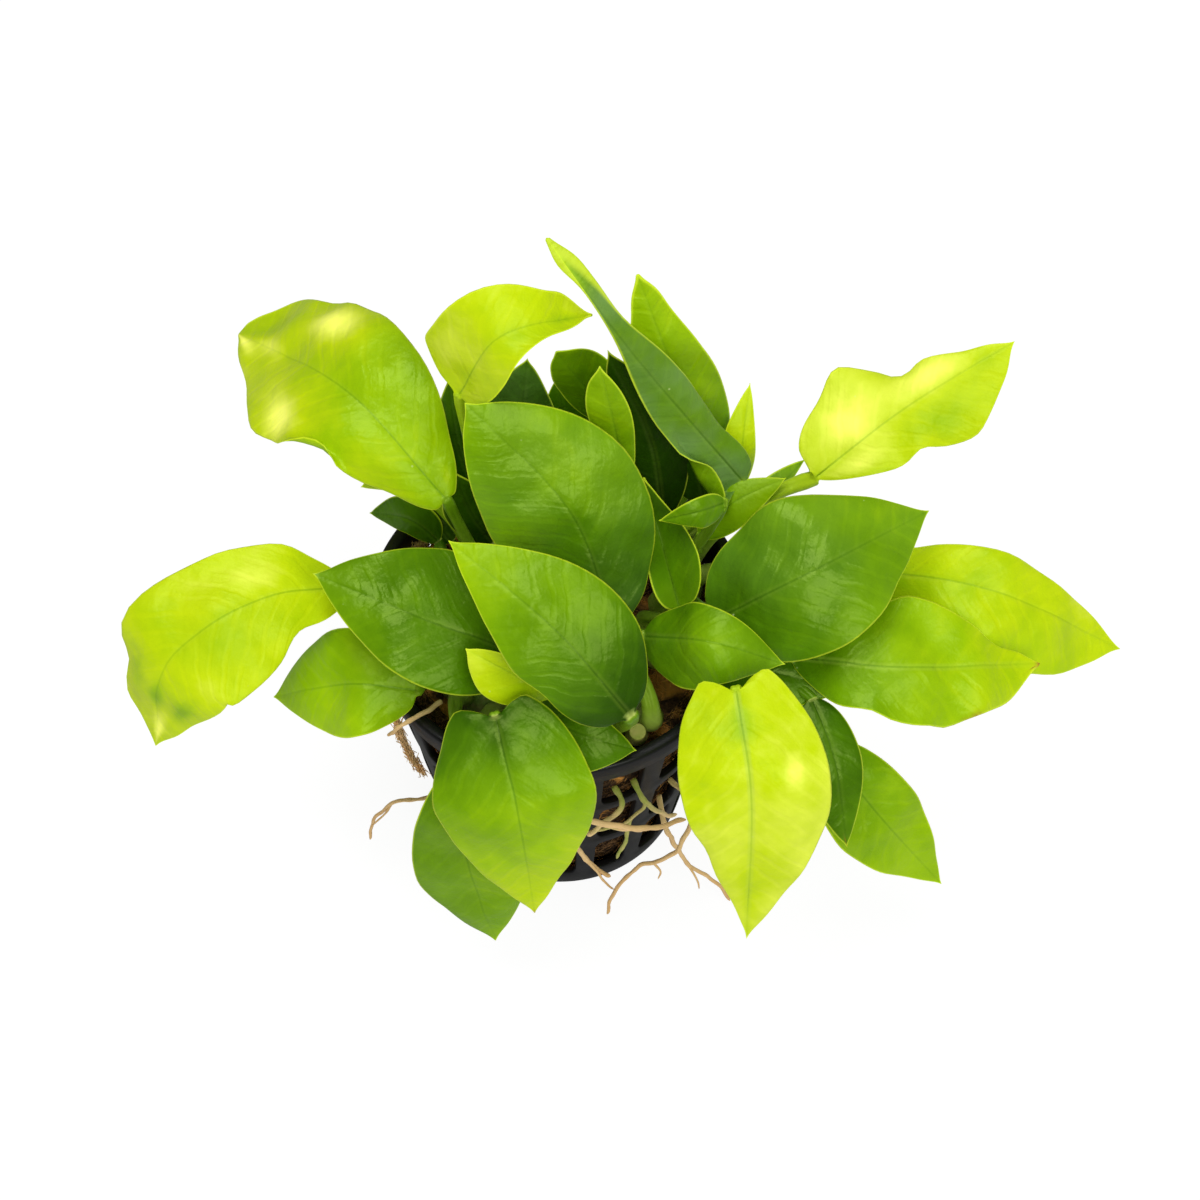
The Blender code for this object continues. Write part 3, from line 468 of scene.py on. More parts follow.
# Leaf skins by slot: their name, roughness, strength of veins and of relief, and the petiole's upper colour
LEAF_SKINS = {
    "lime_leaf": ("leaf_skin_lime", 0.37, 0.03, 0.50, (0.40, 0.58, 0.01)),
    "fresh_leaf": ("leaf_skin_fresh", 0.32, 0.035, 0.55, (0.13, 0.27, 0.004)),
    "deep_leaf": ("leaf_skin_deep", 0.29, 0.03, 0.55, (0.08, 0.19, 0.003)),
}

# Colour by ripening, with painted shade below deep green down to near black
PAINTED_SHADE_LOW, RIPENESS_TOP = -0.4, 1.5
RIPENESS_AND_SHADE = (
    (-0.4, (0.004, 0.022, 0.0005)), (0.0, (0.026, 0.088, 0.0006)), (0.25, (0.078, 0.200, 0.001)),
    (0.5, (0.170, 0.350, 0.001)), (0.75, (0.310, 0.520, 0.001)), (1.0, (0.540, 0.700, 0.002)),
    (1.4, (0.920, 0.960, 0.13)),
)

# How strongly the marks of a leaf show
BLOTCHES = 0.40
FLECKS = 0.14
BLOOM_AND_SHEEN = 0.8
RIB_FADING = 0.85
PALE_MARGIN = 0.62
SPECKS = 0.5

# How far the veins wander and how wide the midrib's line is, in millimetres
VEIN_WOBBLE = 4.0
RIB_LINE = 0.26

# The glow of a pale margin or blade: painted light, for the light that comes through it
MARGIN_GLOW = 0.2

# A unit of the leaves' map is this many millimetres
MAP_SCALE = 100.0

# Colours of a leaf's marks, of petioles, plastic, dust and creeping stems; the blue-grey of a leaf is partly
# a glaucous tint and partly painted sheen
FROST_AND_SHEEN_TINT = (0.17, 0.31, 0.09)
FLANK_TINT = (0.42, 0.60, 0.07)
RIB_TINT = (0.42, 0.58, 0.20)
MARGIN_TINT = (0.62, 0.74, 0.03)
SPECK_TINT = (0.62, 0.74, 0.30)
SCORCH_TINT = (0.30, 0.13, 0.02)
FOOT_TINT = (0.36, 0.44, 0.09)
STALK_TINT = (0.22, 0.36, 0.02)
GLOSS_TINT = (0.78, 1.0, 0.26, 1)
PLASTIC_TINT = (0.004, 0.004, 0.0045)
DUST_TINT = (0.014, 0.013, 0.016)
STEM_TINT = (0.13, 0.22, 0.03)
CORK_TINT = (0.20, 0.17, 0.05)
SCAR_TINT = (0.32, 0.30, 0.12)

# Young, middle-aged and old root
ROOT_TINTS = ((0.26, 0.34, 0.03), (0.78, 0.54, 0.25), (0.66, 0.40, 0.15))

# Wools: their dark, middle and rusty colours
WOOLS = {
    "wool_damp": ((0.014, 0.008, 0.005), (0.10, 0.052, 0.018), (0.60, 0.27, 0.05)),
    "wool_fibre": ((0.04, 0.022, 0.011), (0.24, 0.125, 0.045), (0.80, 0.40, 0.10)),
    "wool_dry": ((0.58, 0.35, 0.15), (0.94, 0.62, 0.31), (0.90, 0.50, 0.20)),
}


# Curves and frames

def vec(place):
    return Vector(place)


def smooth(value, low=0.0, high=1.0):
    """0 below low, 1 above high, and an even rise between."""
    t = min(max((value - low) / (high - low), 0), 1)
    return t * t * (3 - 2 * t)


def bell(value, middle, spread):
    """1 at the middle, and fading to 0 on both sides of it."""
    return math.exp(-((value - middle) / spread) ** 2)


def catmull(points, share):
    """A point of a smooth curve through all the points, by its share of the way."""
    ends = [2 * points[0] - points[1]] + points + [2 * points[-1] - points[-2]]
    place = min(share, JUST_UNDER_ONE) * (len(points) - 1)
    i = int(place)
    t = place - i
    a, b, c, d = ends[i:i + 4]
    square = (2 * a - 5 * b + 4 * c - d) * t * t
    cube = (3 * b - a - 3 * c + d) * t ** 3
    return 0.5 * (2 * b + (c - a) * t + square + cube)


def even_shares(steps):
    return [i / steps for i in range(steps + 1)]


def evenly(curve, shares, samples=120):
    """Points of a curve at shares of its length, not of its parameter, and that length."""
    line = [curve(i / samples) for i in range(samples + 1)]
    run = [0.0]
    for a, b in zip(line, line[1:]):
        run.append(run[-1] + (b - a).length)
    found = []
    i = 0
    for share in shares:
        goal = share * run[-1]
        while i < samples - 1 and run[i + 1] < goal:
            i += 1
        step = (goal - run[i]) / max(run[i + 1] - run[i], 1e-9)
        found.append(line[i].lerp(line[i + 1], step))
    return found, run[-1]


def turn(normal, old, new):
    """Carry a normal along as the direction changes, with no twist of its own."""
    carried = old.rotation_difference(new) @ normal
    return (carried - new * carried.dot(new)).normalized()


def tangents(points):
    last = len(points) - 1
    return [(points[min(i + 1, last)] - points[max(i - 1, 0)]).normalized() for i in range(last + 1)]


def rhizome_point(name, share):
    return catmull([vec(p) for p in RHIZOMES[name].path], share)


def rhizome_radius(name, share):
    """Ringed and lumpy, thinner at both ends."""
    ends = math.sin(math.pi * min(max(share, 0.03), 0.97)) ** 0.35
    rings = 1 + 0.07 * math.sin(share * 34 + len(name))
    return RHIZOMES[name].radius * ends * rings


def foot_of(where):
    """Where a petiole leaves its rhizome, and the way that it leaves."""
    name, share, lean = where
    along = (rhizome_point(name, share + 0.01) - rhizome_point(name, share - 0.01)).normalized()
    across = along.cross(UP).normalized()
    top = across.cross(along)
    angle = math.radians(lean)
    out = top * math.cos(angle) + across * math.sin(angle)
    return rhizome_point(name, share) + out * (RHIZOMES[name].radius * RING_SWELL + GAP), out


def petiole_curve(piece):
    start, out = foot_of(piece.foot)
    rise, via, base = start + out * STALK_RISE, vec(piece.via), vec(piece.spine[0])

    def at(t):
        u = 1 - t
        return start * u ** 3 + rise * (3 * u * u * t) + via * (3 * u * t * t) + base * t ** 3
    return at


# Mesh making

def add_object(name, data):
    made = bpy.data.objects.new(name, data)
    bpy.context.scene.collection.objects.link(made)
    return made


def add_mesh(name, points, faces, material):
    """A smooth mesh object from points in millimetres."""
    mesh = bpy.data.meshes.new(name)
    mesh.from_pydata((np.array([list(p) for p in points], dtype=float) * MM).tolist(), [], faces)
    mesh.update()
    mesh.materials.append(material)
    mesh.shade_smooth()
    return add_object(name, mesh)


def settle(piece, replaces=None):
    """Every piece rides on the one body, and many stand for a node of the model."""
    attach(piece, "root")
    if replaces:
        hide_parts(replaces)


def add_values(mesh, name, values):
    """A number for each point, which a material reads by its name."""
    attribute = mesh.attributes.new(name, "FLOAT", "POINT")
    attribute.data.foreach_set("value", np.asarray(values, dtype=np.float32))


def add_map(mesh, name, places):
    """A flat map of the surface, given for each point."""
    layer = mesh.uv_layers.new(name=name)
    corners = np.zeros(len(mesh.loops), dtype=np.int32)
    mesh.loops.foreach_get("vertex_index", corners)
    layer.data.foreach_set("uv", np.asarray(places, dtype=np.float32)[corners].ravel())


def loft_faces(ring_count, sides, last_cap=True, start=0):
    """Faces that join rings of points, wound to face out."""
    faces = []
    for i in range(ring_count - 1):
        for k in range(sides):
            a, b = start + i * sides + k, start + i * sides + (k + 1) % sides
            faces.append((a, b, b + sides, a + sides))
    faces.append(tuple(start + k for k in range(sides))[::-1])
    if last_cap:
        last = start + (ring_count - 1) * sides
        faces.append(tuple(last + k for k in range(sides)))
    return faces


def tube(line, radii, sides, first_way=None):
    """Points of round sections along a line, whose faces come from loft_faces."""
    ways = tangents(line)
    if first_way is not None:
        ways[0] = first_way
    normal = ways[0].orthogonal().normalized()
    points = []
    for i, (place, way) in enumerate(zip(line, ways)):
        normal = turn(normal, ways[max(i - 1, 0)], way)
        right = normal.cross(way)
        for k in range(sides):
            angle = FULL_TURN * k / sides
            points.append(place + (normal * math.cos(angle) - right * math.sin(angle)) * radii[i])
    return points


# Leaves

def half_of(piece, side):
    return piece.right if side > 0 else piece.left


def half_width(part, share):
    """Round at the base, widest at its own place, and drawn out to a point."""
    bent = share ** (math.log(0.5) / math.log(part.widest))
    power = BASE_ROUNDNESS if share < part.widest else part.blunt
    pinch = 1 - TIP_PINCH * bell(share, 1, TIP_REACH)
    return part.width * pinch * max(math.sin(math.pi * bent), 0) ** power


def slope_at(piece, share, side, place):
    """Degrees that the blade rises at a place between its midrib, 0, and its margin, 1."""
    part = half_of(piece, side)
    slope = part.fold + part.curl * place
    for edge, middle, spread, degrees, crease in piece.rolls:
        if edge * side > 0:
            folded = smooth(place, crease - CREASE_SPREAD, crease + CREASE_SPREAD)
            slope += degrees * bell(share, middle, spread) * folded
    return slope


def across_blade(piece, wave, share, side, seed):
    """Sideways and upward place of a point of the blade, side running from -1 to 1."""
    reach = abs(side)
    broad = half_width(half_of(piece, side), share)
    step = broad * reach / BEND_STEPS
    out, lift = 0.0, 0.0
    for i in range(BEND_STEPS):
        slope = math.radians(slope_at(piece, share, side, reach * (i + 0.5) / BEND_STEPS))
        out += step * math.cos(slope)
        lift += step * math.sin(slope)
    for edge, middle, spread, outward, upward in piece.pulls:
        if edge * side > 0:
            strength = reach ** 2 * bell(share, middle, spread)
            out += outward * strength
            lift += upward * strength
    ripple = noise.noise(Vector((share * MARGIN_WAVES, math.copysign(MARGINS_APART, side), seed)))
    lift += WAVE_GAIN * wave * ripple * reach ** 3 * min(broad / CALM_WIDTH, 1)
    return math.copysign(out, side) if side else 0.0, lift


def lobe_at(piece, share, side):
    """How far back a place at the base of a heart-shaped blade reaches."""
    part = half_of(piece, side)
    if share >= part.widest:
        return 0.0
    spread = half_width(part, share) / part.width
    return piece.heart * math.sin(math.pi * math.sqrt(spread)) * abs(side) ** 1.3


def blade_frames(piece, shares):
    """Place, direction, rightward and upward of the midrib at each share of the blade, and its length."""
    spine = [vec(p) for p in piece.spine]
    line, length = evenly(lambda t: catmull(spine, t), shares)
    ways = tangents(line)
    middle = min(range(len(shares)), key=lambda i: abs(shares[i] - 0.5))
    face = vec(piece.face)
    normals = [None] * len(shares)
    normals[middle] = (face - ways[middle] * face.dot(ways[middle])).normalized()
    for i in range(middle + 1, len(shares)):
        normals[i] = turn(normals[i - 1], ways[i - 1], ways[i])
    for i in range(middle - 1, -1, -1):
        normals[i] = turn(normals[i + 1], ways[i + 1], ways[i])
    return [(place, way, way.cross(up), up) for place, way, up in zip(line, ways, normals)], length


def column_sides():
    """Places across a blade from -1 to 1, closer together at the midrib and at the margins."""
    found = []
    for i in range(-HALF_COLUMNS, HALF_COLUMNS + 1):
        t = i / HALF_COLUMNS
        found.append(t - COLUMN_CROWDING * math.sin(FULL_TURN * t) / FULL_TURN)
    return found


SIDES = column_sides()
AROUND = 2 * len(SIDES) - 2


def ring_places():
    """For each point round a section: its column, and 1 above, -1 below or 0 at an edge."""
    last = len(SIDES) - 1
    upper = [(k, 0 if k in (0, last) else 1) for k in range(last + 1)]
    lower = [(k, -1) for k in range(last - 1, 0, -1)]
    return upper + lower


RING = ring_places()


def grid_normals(grid, ups):
    """Normals of a grid of points, which lean on the frames' own upward where the grid is too narrow."""
    along = np.gradient(grid, axis=0)
    across = np.gradient(grid, axis=1)
    normals = np.cross(across, along)
    length = np.linalg.norm(normals, axis=2, keepdims=True)
    flat = length[..., 0] < 1e-4
    normals = normals / np.maximum(length, 1e-9)
    normals[flat] = np.repeat(ups[:, None, :], grid.shape[1], axis=1)[flat]
    return normals


def blade_shares():
    """Shares of the blade's length, closer together at both ends."""
    found = []
    for i in range(BLADE_RINGS):
        t = i / BLADE_RINGS
        found.append(FIRST_RING + RINGS_SPAN * (t - RING_CROWDING * math.sin(FULL_TURN * t) / FULL_TURN))
    return found


def stalk_radius(piece, t):
    """Sheathed and thick at the foot, slim in the middle and a little swollen under the blade."""
    slim = piece.stalk * (1.25 - 0.35 * t)
    sheath = 0.28 * bell(t, 0, 0.16)
    swelling = 0.10 * bell(t, 0.93, 0.06)
    waist = 0.12 * smooth(t, 0.2, 0.6) * smooth(1 - t, 0.0, 0.3)
    return slim * (1 + sheath + swelling - waist)


def tone_at(how, share, side):
    """The blade's tone at a place, from deep green as it ripens to pale yellow; tones below deep green are
    painted shade, and some patches painted sheen and painted shade.
    """
    tone = how.base + (how.tip - how.base) * share ** RIPENING_BEND
    tone += (how.right if side > 0 else how.left) * abs(side) ** 1.5
    for middle, at_side, spread, amount in how.patches:
        away = ((share - middle) / spread) ** 2
        aside = ((side - at_side) / (PATCH_BREADTH * spread)) ** 2
        tone += amount * math.exp(-away - aside)
    return tone


def round_section(place, way, normal, radius, groove_depth):
    """A round section with a groove in its upper side, in the same order as a section of the blade."""
    right = way.cross(normal)
    found = []
    for k in range(AROUND):
        angle = math.pi - FULL_TURN * k / AROUND
        dip = groove_depth * bell(angle, math.pi / 2, 0.5)
        reach = radius * (1 - dip)
        found.append(place + right * (math.cos(angle) * reach) + normal * (math.sin(angle) * reach))
    return found


def stalk_sections(piece, blade_way, blade_up):
    """Place, way, normal, radius, share and groove of each section of the petiole, and its length."""
    line, length = evenly(petiole_curve(piece), even_shares(STALK_RINGS))
    ways = tangents(line)
    ways[0] = foot_of(piece.foot)[1]
    ways[-1] = (ways[-1] + blade_way).normalized()
    normals = [None] * len(line)
    normal, way = blade_up, blade_way
    for i in range(STALK_RINGS, -1, -1):
        normal = turn(normal, way, ways[i])
        way = ways[i]
        normals[i] = normal
    foot = line[0] - ways[0] * FOOT_DEPTH
    sections = [(foot, ways[0], normals[0], stalk_radius(piece, 0) * FOOT_FLARE, 0.0, 0.0)]
    for i, place in enumerate(line):
        t = i / STALK_RINGS
        dip = STALK_GROOVE * smooth(t, 0.05, 0.3)
        sections.append((place, ways[i], normals[i], stalk_radius(piece, t), t, dip))
    return sections, length


def blade_grids(piece, how, shares, frames, length, seed):
    """Grids of the upper skin, lower skin and margin, then of the width, the way out and the way along."""
    sweep = frames[2][1]
    grid = np.zeros((len(shares), len(SIDES), 3))
    broad = np.zeros((len(shares), len(SIDES)))
    for i, (share, (place, way, right, up)) in enumerate(zip(shares, frames)):
        for k, side in enumerate(SIDES):
            out, lift = across_blade(piece, how.wave, share, side, seed)
            grid[i, k] = place + right * out + up * lift - sweep * lobe_at(piece, share, side)
            broad[i, k] = half_width(half_of(piece, side), share)
    normals = grid_normals(grid, np.array([list(up) for place, way, right, up in frames]))
    sides = np.array(SIDES)[None, :]
    share_grid = np.array(shares)[:, None]
    out_mm = broad * sides
    along_mm = share_grid * length
    rounding = np.sqrt(np.clip(1 - sides ** 6, 0, 1))
    thick = BLADE_THICKNESS * (1.15 - 0.45 * share_grid) * rounding * 0.5
    groove = MIDRIB_GROOVE * np.exp(-(out_mm / MIDRIB_WIDTH) ** 2) * (1 - 0.55 * share_grid)
    keel_size = piece.stalk * 0.85 * (1 - share_grid) ** 1.1 + 0.12
    keel = keel_size * np.exp(-(out_mm / (0.75 * keel_size + 0.25)) ** 2)
    run = along_mm - VEIN_SLANT * np.abs(out_mm) - VEIN_BEND * out_mm ** 2
    window = np.clip(np.abs(out_mm) / 1.2, 0, 1) * np.clip((1 - np.abs(sides)) * 5, 0, 1)
    quilt = QUILT_DEPTH * np.cos(math.pi * run / VEIN_SPACING) * window
    shift = Vector((seed, 0, 0))
    soft = np.array([[noise.noise(Vector(p) * SWELL_SCALE + shift) for p in row] for row in grid])
    soft = (SWELL_HEIGHT + how.wave) * soft * np.clip(broad / CALM_WIDTH, 0, 1)
    upper = grid + normals * (thick - groove + quilt + soft)[..., None]
    lower = grid + normals * (-thick - keel + quilt + soft)[..., None]
    margin = grid + normals * soft[..., None]
    return upper, lower, margin, broad, out_mm, along_mm


def grow_leaf(name, piece, how, material, seed, replaces=None):
    """One leaf as a closed skin: petiole, midrib, blade with two sides and a rounded margin, and tip."""
    shares = blade_shares()
    frames, length = blade_frames(piece, shares)
    upper, lower, margin, broad, out_mm, along_mm = blade_grids(piece, how, shares, frames, length, seed)
    sections, stalk_length = stalk_sections(piece, frames[0][1], frames[0][3])
    skin = []
    for place, way, normal, radius, t, dip in sections:
        for k, p in enumerate(round_section(place, way, normal, radius, dip)):
            flat = (radius * (k / AROUND - 0.5) * 6, (t - 1) * stalk_length)
            skin.append(SkinPoint(p, t, FAR, 1, 0, flat, 0, FAR, 0, 0))
    for i, (share, (place, way, right, up)) in enumerate(zip(shares, frames)):
        open_up = smooth(share, 0.0, 0.022)
        circle = None
        if open_up < 1:
            radius = stalk_radius(piece, 1) * (1 - 0.3 * open_up)
            circle = round_section(place, way, up, radius, STALK_GROOVE)
        for k, (column, face) in enumerate(RING):
            source = upper if face > 0 else lower if face < 0 else margin
            p = Vector(source[i, column])
            if circle:
                p = circle[k].lerp(p, open_up)
            side = SIDES[column]
            below = face < 0
            ripe_and_shaded = tone_at(how, share, side)
            if below:
                ripe_and_shaded = UNDER_SHARE * UNDER_TONE + (1 - UNDER_SHARE) * ripe_and_shaded
            stalk = (1 - smooth(share, 0.0, 0.025)) * (1 - smooth(abs(out_mm[i, column]), 0.4, 1.2))
            skin.append(SkinPoint(
                p, ripe_and_shaded, (1 - abs(side)) * broad[i, column], stalk, int(below),
                (out_mm[i, column], along_mm[i, 0]), share, side, 0 if below else how.frost,
                how.brown * smooth(share, BROWN_TIP, 1.0)))
    rings = len(sections) + len(shares)
    faces = loft_faces(rings, AROUND, last_cap=False)
    last = (rings - 1) * AROUND
    faces += [(last + k, last + (k + 1) % AROUND, len(skin)) for k in range(AROUND)]
    tip = vec(piece.spine[-1])
    skin.append(SkinPoint(tip, tone_at(how, 1, 0), 0, 0, 0, (0, length), 1, 0, how.frost, how.brown))

    made = add_mesh(name, [point.place for point in skin], faces, material)
    for label in ("ripeness", "margin_mm", "petiole", "underside", "share"):
        add_values(made.data, label, [getattr(point, label) for point in skin])
    brown = np.array([point.browning for point in skin], dtype=float)
    way_up = np.array([point.share for point in skin])
    turned = np.array([point.side for point in skin])
    for share, side, spread in SCORCHES.get(name, ()):
        away = ((way_up - share) / spread) ** 2
        aside = ((turned - side) / (PATCH_BREADTH * spread)) ** 2
        brown = np.maximum(brown, np.exp(-away - aside))
    add_values(made.data, "browning", brown)
    add_values(made.data, "frost", [point.frost for point in skin])
    add_values(made.data, "pale_rib", [how.rib] * len(skin))
    add_map(made.data, "leaf_mm", np.array([point.flat for point in skin]) / MAP_SCALE)
    settle(made, replaces)


# Materials

def new_material(name):
    made = bpy.data.materials.new(name)
    made.use_nodes = True
    return made, made.node_tree, made.node_tree.nodes["Principled BSDF"]


def put(tree, kind, inputs=None, **settings):
    """Adds a node; inputs are values, or sockets to link from."""
    node = tree.nodes.new(kind)
    for key, value in settings.items():
        setattr(node, key, value)
    for key, value in (inputs or {}).items():
        feed(tree, node.inputs[key], value)
    return node


def feed(tree, socket, value):
    if isinstance(value, bpy.types.NodeSocket):
        tree.links.new(value, socket)
    else:
        socket.default_value = value


def maths(tree, operation, a, b=0.0, clamp=False):
    node = put(tree, "ShaderNodeMath", {0: a, 1: b}, operation=operation, use_clamp=clamp)
    return node.outputs[0]


def plus(tree, a, b):
    return maths(tree, "ADD", a, b)


def minus(tree, a, b):
    return maths(tree, "SUBTRACT", a, b)


def times(tree, a, b):
    return maths(tree, "MULTIPLY", a, b)


def step_up(tree, value, low, high):
    """0 below low, 1 above high, with a smooth rise."""
    node = put(tree, "ShaderNodeMapRange", {"Value": value, "From Min": low, "From Max": high},
               interpolation_type="SMOOTHSTEP")
    return node.outputs["Result"]


def mixed(tree, share, a, b, blend="MIX"):
    """A colour between a and b; a and b are colours or sockets."""
    node = tree.nodes.new("ShaderNodeMix")
    node.data_type = "RGBA"
    node.blend_type = blend
    feed(tree, node.inputs["Factor"], share)
    feed(tree, node.inputs[6], a if isinstance(a, bpy.types.NodeSocket) else (*a, 1))
    feed(tree, node.inputs[7], b if isinstance(b, bpy.types.NodeSocket) else (*b, 1))
    return node.outputs[2]


def cloud(tree, size_mm, detail=2.0, roughness=0.5, distortion=0.0):
    """Noise whose lumps are about size_mm across, on the object's own coordinates."""
    node = put(tree, "ShaderNodeTexNoise", {
        "Vector": put(tree, "ShaderNodeTexCoord").outputs["Object"], "Scale": 1 / (size_mm * MM),
        "Detail": detail, "Roughness": roughness, "Distortion": distortion})
    return node.outputs["Fac"]


def ramp(tree, value, stops):
    """A colour by value; stops are places with a colour each."""
    node = put(tree, "ShaderNodeValToRGB", {"Fac": value})
    band = node.color_ramp
    while len(band.elements) > 1:
        band.elements.remove(band.elements[-1])
    for i, (place, colour) in enumerate(stops):
        element = band.elements[0] if i == 0 else band.elements.new(place)
        element.position = place
        element.color = (*colour, 1)
    return node.outputs["Color"]


def add_relief(tree, shader, height, strength, depth_mm):
    """Small bumps of a skin."""
    bump = put(tree, "ShaderNodeBump", {"Height": height, "Strength": strength, "Distance": depth_mm * MM})
    feed(tree, shader.inputs["Normal"], bump.outputs["Normal"])


def group_tree(name, inputs, outputs):
    """A shader node group with numbers going in and out, and its two end nodes."""
    tree = bpy.data.node_groups.new(name, "ShaderNodeTree")
    for label, value in inputs.items():
        socket = tree.interface.new_socket(label, in_out="INPUT", socket_type="NodeSocketFloat")
        socket.default_value = value
    for label in outputs:
        tree.interface.new_socket(label, in_out="OUTPUT", socket_type="NodeSocketFloat")
    return tree, tree.nodes.new("NodeGroupInput"), tree.nodes.new("NodeGroupOutput")


def build_vein_group():
    """Side veins that leave the midrib aslant and curve to the tip, and the line of the midrib itself."""
    tree, start, end = group_tree(
        "leaf_veins", {"Spacing mm": VEIN_SPACING, "Slant": VEIN_SLANT, "Midrib mm": RIB_LINE},
        ("Veins", "Fine", "Midrib", "Flank"))
    flat = put(tree, "ShaderNodeUVMap", uv_map="leaf_mm").outputs["UV"]
    wobble = put(tree, "ShaderNodeTexNoise", {"Vector": flat, "Scale": 14.0, "Detail": 2.0})
    parts = put(tree, "ShaderNodeSeparateXYZ", {"Vector": flat})
    out = maths(tree, "ABSOLUTE", times(tree, parts.outputs["X"], MAP_SCALE))
    along = times(tree, parts.outputs["Y"], MAP_SCALE)
    bend = times(tree, times(tree, out, out), VEIN_BEND)
    lean = plus(tree, times(tree, out, start.outputs["Slant"]), bend)
    shift = times(tree, wobble.outputs["Fac"], VEIN_WOBBLE)
    run = plus(tree, minus(tree, along, lean), shift)
    phase = maths(tree, "DIVIDE", run, start.outputs["Spacing mm"])
    for label, count in (("Veins", 1.0), ("Fine", 3.0)):
        wave = maths(tree, "COSINE", times(tree, phase, FULL_TURN * count))
        feed(tree, end.inputs[label], step_up(tree, wave, 0.3, 1.0))
    half_rib = maths(tree, "DIVIDE", out, start.outputs["Midrib mm"])
    feed(tree, end.inputs["Midrib"], minus(tree, 1.0, step_up(tree, half_rib, 0.25, 0.8)))
    feed(tree, end.inputs["Flank"], minus(tree, 1.0, step_up(tree, half_rib, 1.0, 2.6)))
    return tree


def build_mottle_group():
    """Slow changes of shade, a few pale specks, and a fine grain."""
    tree, start, end = group_tree(
        "living_mottle", {"Cloud mm": 9.0, "Speck mm": 2.2}, ("Cloud", "Specks", "Grain"))
    where = put(tree, "ShaderNodeTexCoord").outputs["Object"]
    cloud_scale = maths(tree, "DIVIDE", PER_METRE, start.outputs["Cloud mm"])
    slow = put(tree, "ShaderNodeTexNoise", {
        "Vector": where, "Scale": cloud_scale, "Detail": 3.0, "Distortion": 0.4})
    feed(tree, end.inputs["Cloud"], minus(tree, slow.outputs["Fac"], 0.5))
    speck_scale = maths(tree, "DIVIDE", PER_METRE, start.outputs["Speck mm"])
    cells = put(tree, "ShaderNodeTexVoronoi", {"Vector": where, "Scale": speck_scale, "Randomness": 1.0})
    picked = put(tree, "ShaderNodeSeparateColor", {"Color": cells.outputs["Color"]})
    dot = minus(tree, 1.0, step_up(tree, cells.outputs["Distance"], 0.03, 0.10))
    rare = step_up(tree, picked.outputs["Red"], 0.93, 0.96)
    feed(tree, end.inputs["Specks"], times(tree, dot, rare))
    grain = put(tree, "ShaderNodeTexNoise", {"Vector": where, "Scale": 1800.0, "Detail": 2.0})
    feed(tree, end.inputs["Grain"], grain.outputs["Fac"])
    return tree


def read_value(tree, name):
    return put(tree, "ShaderNodeAttribute", attribute_name=name, attribute_type="GEOMETRY").outputs["Fac"]


